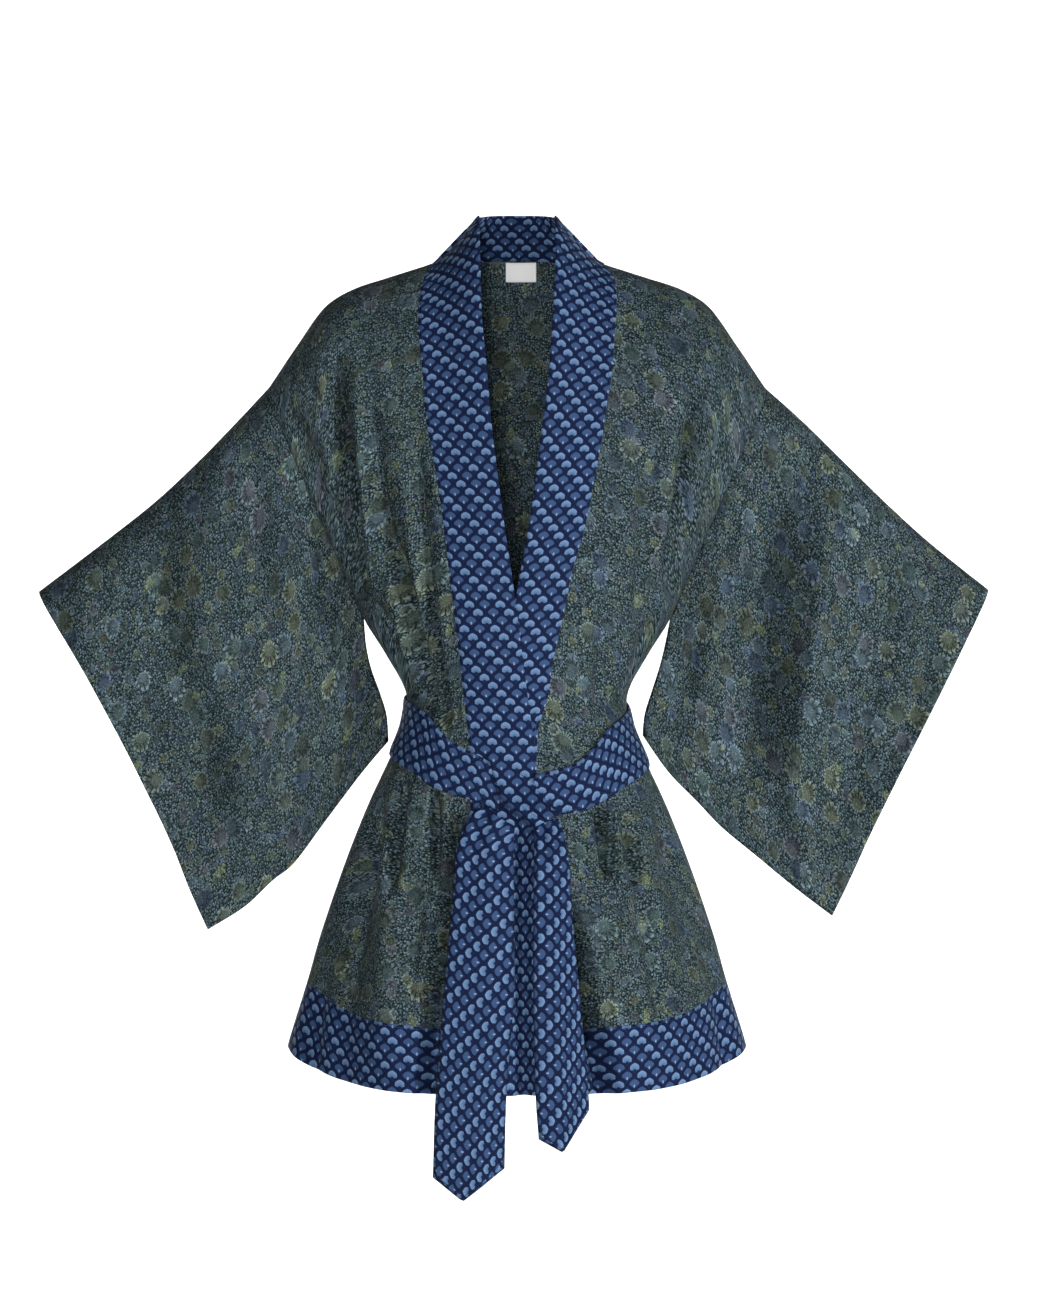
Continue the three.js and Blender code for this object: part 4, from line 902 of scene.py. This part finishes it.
hem_grids = [hem_band("back", back_points([across_to(line, 0, back_count) for line in hem_lines]), 1, 0)]
for key, flat_start, length in (("right", 43, 0.27), ("left", 18, 0.29)):
    side, seam, _, _ = FRONTS[key]
    hem_rows = [across_to(line, float(seam(line[0])), RIDGE_STEPS) for line in hem_lines]
    hem_grids.append(hem_band(key, front_points(hem_rows, *FRONTS[key]), side, flat_start))

# ---------------------------------------------------------------------------------------------
# Belt: a flat tube of the fan cotton, 71 mm wide, folded on itself to 44 to 56 mm where it goes round
# the waist. It narrows and puckers where both ends go under the knot.
BELT_CLOTH = 2.2
BELT_LIFT, BELT_SIDE_LIFT, BELT_START = 6.8, 4.2, 7.0
BELT_STEPS, BELT_ACROSS = 220, 16
belt_turn = mix(-180 + BELT_START, 180 - BELT_START, steps(BELT_STEPS))[:, None]
belt_angle, belt_side = 180 - np.abs(belt_turn), np.where(belt_turn < 0, -1.0, 1.0)
belt_middle = np.where(belt_side < 0, belt_right(belt_angle), belt_left(belt_angle))
belt_t = steps(BELT_ACROSS)[None, :]
belt_z = belt_middle + belt_half(belt_angle) * (1 - 2 * belt_t)
belt_x = belt_side * np.sin(np.radians(belt_angle)) * side_x(belt_z)
near_knot = 1 - ease(10, 55, belt_angle)
pucker = near_knot * (1.3 * np.sin(belt_t * 15 + belt_side) + 0.8 * np.sin(belt_t * 27 + 2 + belt_angle / 14))
belt_wave = 0.7 * np.sin(belt_angle / 5.1 + 3 * belt_t) * np.sin(belt_angle / 17 + belt_side)
belt_lift = mix(BELT_LIFT, BELT_SIDE_LIFT, ease(40, 85, belt_angle)) + 0.6 * pucker + 0.6 * belt_wave
belt_lift = belt_lift - (2 * belt_t - 1) ** 8
in_front = np.broadcast_to(belt_angle < 90, belt_x.shape)[..., None]
belt_grid = np.where(in_front, *[on_form(belt_x, belt_z, face, belt_lift) for face in (-1, 1)])
belt_flat = laid_flat(belt_grid)
belt_uv = np.stack([belt_flat[..., 1].mean(1)[:, None] + 0 * belt_t, -belt_flat[..., 0]], -1)
belt = cloth_piece("belt_cloth", belt_grid, belt_uv, BELT_CLOTH, fan_print, "belt")

# ---------------------------------------------------------------------------------------------
# Knot: the belt end that wraps over the other one, a flat pad of the same tube with a deep crease
# along it, and a shadowed hollow below it from which both ends hang.
KNOT_LEFT = [(-27, -497), (-21, -525), (-14, -547), (14, -573)]
KNOT_RIGHT = [(16, -527), (27, -543), (39, -559)]
KNOT_CLOTH = 1.6
KNOT_FLAT, KNOT_THICK = 8.0, 11.5  # lift of its flat top edge, and its swell
KNOT_BACK = 9.6                    # lift of its turned edge
KNOT_ROWS, KNOT_STEPS = 40, 32
knot_t, knot_w = steps(KNOT_ROWS)[:, None], steps(KNOT_STEPS)[None]
knot_sides = [flat_curve(side, steps(KNOT_ROWS))[:, None] for side in (KNOT_LEFT, KNOT_RIGHT)]
knot_place = mix(*knot_sides, knot_w[..., None])
swell = ease(0, 0.75, knot_t) * (1 - (2 * knot_w - 1) ** 4) ** 0.6
crease = 0.34 * np.exp(-((knot_w - 0.3 - 0.16 * knot_t) / 0.07) ** 2)
crease = crease + 0.26 * np.exp(-((knot_w - 0.7) / 0.06) ** 2)
knot_lift = KNOT_FLAT + KNOT_THICK * swell * (1 - crease * ease(0.1, 0.6, knot_t))
knot_outer = on_form(knot_place[..., 0], knot_place[..., 1], -1, knot_lift)
# its lower edge is turned back under it
turned = [on_form(knot_place[-1:, :, 0] - 0.6 * back, knot_place[-1:, :, 1] + back, -1,
                  mix(knot_lift[-1:], KNOT_BACK, part))
          for back, part in ((-1.6, 0.25), (-1.0, 0.7), (3.0, 1.0))]
knot_grid = np.concatenate([knot_outer] + turned)
# the print runs on from the neckband's
band_row = int(np.argmin(np.abs(right_rows[:, 0, 2] + 520)))
band_column = int(np.argmin(np.abs(right_rows[band_row, :, 0])))
print_u, print_v = band_flat[len(right_rows) - 1 - band_row, band_column]
knot_uv = np.stack([knot_grid[..., 0] - right_rows[band_row, band_column, 0] + print_u,
                    knot_grid[..., 2] - right_rows[band_row, band_column, 2] + print_v], -1)
knot = cloth_piece("belt_knot_cloth", knot_grid, knot_uv, KNOT_CLOTH, fan_print, "belt_knot")

# ---------------------------------------------------------------------------------------------
# Hanging ends of the belt: the same flat tube, 71 mm wide below the knot and gathered under it, cut
# to an uneven point and hanging free below the hem.
TIE_LIFT, TIE_CLOTH = 7.8, 1.0
TIES = {
    "belt_end_long": dict(
        length=0.37, area=0.045,
        top=(-549, -571), foot=(-907, -930, -898), point=0.43, turn=1, forward=0, tucked=5.0,
        edges=[(-549, -35, -2), (-566, -47, -2), (-591, -57.6, -3), (-622, -60, -3), (-724, -69, -2.5),
               (-824, -77, -9.7), (-905, -80, -12)]),
    "belt_end_short": dict(
        length=0.31, area=0.03,
        top=(-571, -564), foot=(-868, -881, -841), point=0.47, turn=-1, forward=7.5, tucked=0,
        edges=[(-564, 16.6, 41), (-604, 16, 48), (-638, 15.6, 50.6), (-724, 15.5, 58), (-824, 17.4, 66.7),
               (-866, 20.3, 68)]),
}
TIE_ROWS, TIE_STEPS = 84, 18
for node, shape in TIES.items():
    left, right = smooth(shape["edges"], 1), smooth(shape["edges"], 2)
    w = steps(TIE_STEPS)
    t = steps(TIE_ROWS)[:, None]
    foot = np.interp(w, [0, shape["point"], 1], shape["foot"])
    z = mix(mix(shape["top"][0], shape["top"][1], w), foot, t)
    x = mix(left(z), right(z), w)
    gather = (1 - ease(0, 0.42, t)) * np.sin(w * 13 + 0.6) * 1.5
    sway = 0.9 * np.sin(t * 7 + w * 1.5) + 0.5 * np.sin(t * 17 + 4 * w)
    middle = TIE_LIFT + 2.4 + gather + sway * ease(0, 0.3, t)
    # the short end hangs in front, and the long one turns back beside it
    middle = middle + shape["forward"] * ease(0, 0.12, t) - shape["tucked"] * ease(0.55, 1, w)
    puff = (1 - (2 * w - 1) ** 6) * mix(4.2, 1.9, ease(0, 0.5, t)) * (1 - t ** 24)
    sheets = [on_form(x, z, -1, middle + puff * face) for face in (1, -1)]
    grid = np.concatenate([sheets[0], sheets[1][:, -2::-1]], axis=1)
    flat = laid_flat(grid)
    down, wide = -flat[..., 1] - grid[0, :, 2], flat[..., 0]
    uv = np.stack([-shape["turn"] * down, -shape["turn"] * wide], -1)
    tie = cloth_piece(node + "_cloth", grid, uv, TIE_CLOTH, fan_print, node)

# ---------------------------------------------------------------------------------------------
# Label: a small white woven tape, left bare, sewn to the inside of the back just below the neckband.
LABEL_LEFT, LABEL_RIGHT, LABEL_TOP, LABEL_BOTTOM = -12.0, 20.5, 9.0, -10.5
LABEL_CLOTH, LABEL_INSIDE, LABEL_CURL = 0.7, -2.9, 0.3
label_x, label_z = np.meshgrid(mix(LABEL_RIGHT, LABEL_LEFT, steps(12)), mix(LABEL_TOP, LABEL_BOTTOM, steps(8)))
label_grid = on_form(label_x, label_z, 1, LABEL_INSIDE - LABEL_CURL * ((label_x - 4) / 16) ** 2)

label_tape, tree = new_material("satin_woven_tape")  # smooth white tape with fine ribs across it
at = flat_cloth_mm(tree)
rib = add_node(tree, "ShaderNodeTexWave", {"Vector": at, "Scale": 0.3, "Distortion": 0.2}, wave_type="BANDS",
               bands_direction="Y")
tone = Sums(tree).blend(flat_noise(tree, at, 0.3, 3.0), linear("f9f9f7"), linear("fdfdfc"))
ribbed = add_node(tree, "ShaderNodeBump", {"Strength": 0.2, "Distance": 0.0001, "Height": rib.outputs["Fac"]})
surface(tree, {"Base Color": tone, "Roughness": 0.5, "Sheen Weight": 0.1, "Normal": ribbed.outputs["Normal"]})
label = cloth_piece("label_tape", label_grid, laid_flat(label_grid), LABEL_CLOTH, label_tape, "label")

# ---------------------------------------------------------------------------------------------
# Stitching: lockstitch in navy thread about 2 mm inside the seams of the neckband and hem bands, along both
# edges of the belt and round the turned hems of the cuffs, and white thread at both ends of the label.
def thread(name, hex_colour):
    """Twisted sewing thread: two plies that catch a little light."""
    material, tree = new_material(name)
    place = add_node(tree, "ShaderNodeTexCoord").outputs["Object"]
    ply = add_node(tree, "ShaderNodeTexNoise", {"Vector": place, "Scale": 2500.0, "Detail": 2.0}).outputs["Fac"]
    tone = Sums(tree).blend(ply, linear(hex_colour), linear(NAVY))
    twist = add_node(tree, "ShaderNodeBump", {"Strength": 0.2, "Distance": 0.0001, "Height": ply})
    surface(tree, {"Base Color": tone, "Roughness": 0.6, "Sheen Weight": 0.05, "Normal": twist.outputs["Normal"]})
    return material


def stitch_nodes():
    """Short stitches set end to end along a line: a thin rod at each point, turned along the line."""
    tree = bpy.data.node_groups.new("stitches_along_a_line", "GeometryNodeTree")
    tree.interface.new_socket("Geometry", in_out="INPUT", socket_type="NodeSocketGeometry")
    sockets = {}
    for title in ("Spacing", "Stitch length", "Thread thickness", "Thread"):
        kind = "NodeSocketMaterial" if title == "Thread" else "NodeSocketFloat"
        sockets[title] = tree.interface.new_socket(title, in_out="INPUT", socket_type=kind).identifier
    tree.interface.new_socket("Geometry", in_out="OUTPUT", socket_type="NodeSocketGeometry")
    given = add_node(tree, "NodeGroupInput").outputs
    line = add_node(tree, "GeometryNodeMeshToCurve", {"Mesh": given["Geometry"]})
    places = add_node(tree, "GeometryNodeCurveToPoints",
                      {"Curve": line.outputs[0], "Length": given["Spacing"]}, mode="LENGTH").outputs
    radius = add_node(tree, "ShaderNodeMath", {0: given["Thread thickness"], 1: 0.5}, operation="MULTIPLY")
    rod = add_node(tree, "GeometryNodeMeshCylinder",
                   {"Vertices": 5, "Radius": radius.outputs[0], "Depth": given["Stitch length"]})
    placed = add_node(tree, "GeometryNodeInstanceOnPoints",
                      {"Points": places["Points"], "Instance": rod.outputs["Mesh"], "Rotation": places["Rotation"]})
    real = add_node(tree, "GeometryNodeRealizeInstances", {"Geometry": placed.outputs["Instances"]})
    finished = add_node(tree, "GeometryNodeSetMaterial",
                        {"Geometry": real.outputs["Geometry"], "Material": given["Thread"]})
    add_node(tree, "NodeGroupOutput", {"Geometry": finished.outputs["Geometry"]})
    return tree, sockets


stitch_tree, stitch_sockets = stitch_nodes()


def sew(name, lines, material, spacing=3.1, length=2.3, thickness=0.4):
    """Stitches along lines of points in mm, made a plain mesh."""
    vertices, edges = [], []
    for line in lines:
        edges += [(len(vertices) + i, len(vertices) + i + 1) for i in range(len(line) - 1)]
        vertices += (np.asarray(line) / 1000).tolist()
    mesh = bpy.data.meshes.new(name + "_line")
    mesh.from_pydata(vertices, edges, [])
    guide = bpy.data.objects.new(name + "_line", mesh)
    bpy.context.collection.objects.link(guide)
    modifier = guide.modifiers.new("stitches", "NODES")
    modifier.node_group = stitch_tree
    for title, value in (("Spacing", spacing / 1000), ("Stitch length", length / 1000),
                         ("Thread thickness", thickness / 1000), ("Thread", material)):
        modifier[stitch_sockets[title]] = value
    evaluated = guide.evaluated_get(bpy.context.evaluated_depsgraph_get())
    stitched = bpy.data.objects.new(name, bpy.data.meshes.new_from_object(evaluated))
    bpy.data.objects.remove(guide)
    bpy.context.collection.objects.link(stitched)
    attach(stitched, "root")


def line_between(grid, first, second, part, axis):
    """A line on a cloth grid, part of the way from one of its rows or columns to another."""
    return mix(np.take(grid, first, axis), np.take(grid, second, axis), part)


BOTH_EDGES = ((0, 1), (-1, -2))  # outermost and second column of a grid, at its one edge and at the other
navy_thread, white_thread = thread("navy_sewing_thread", "2b4370"), thread("white_sewing_thread", "f4f4f1")
for name, lines in (
        ("neckband_stitches", [line_between(band_grid, 0, 1, 0.55, 1)]),
        ("hem_band_stitches", [line_between(grid, 0, 1, 0.5, 0) for grid in hem_grids]),
        ("belt_stitches", [line_between(belt_grid, *edge, 0.7, 1) for edge in BOTH_EDGES]),
        ("cuff_stitches", [line_between(grid, -3, -4, 0.5, 1) for grid in sleeve_grids])):
    sew(name, lines, navy_thread)
label_lines = [line_between(label_grid, *edge, 0.4, 1) + (0, -0.2, 0) for edge in BOTH_EDGES]
sew("label_stitches", label_lines, white_thread, spacing=2.0, length=1.4, thickness=0.3)
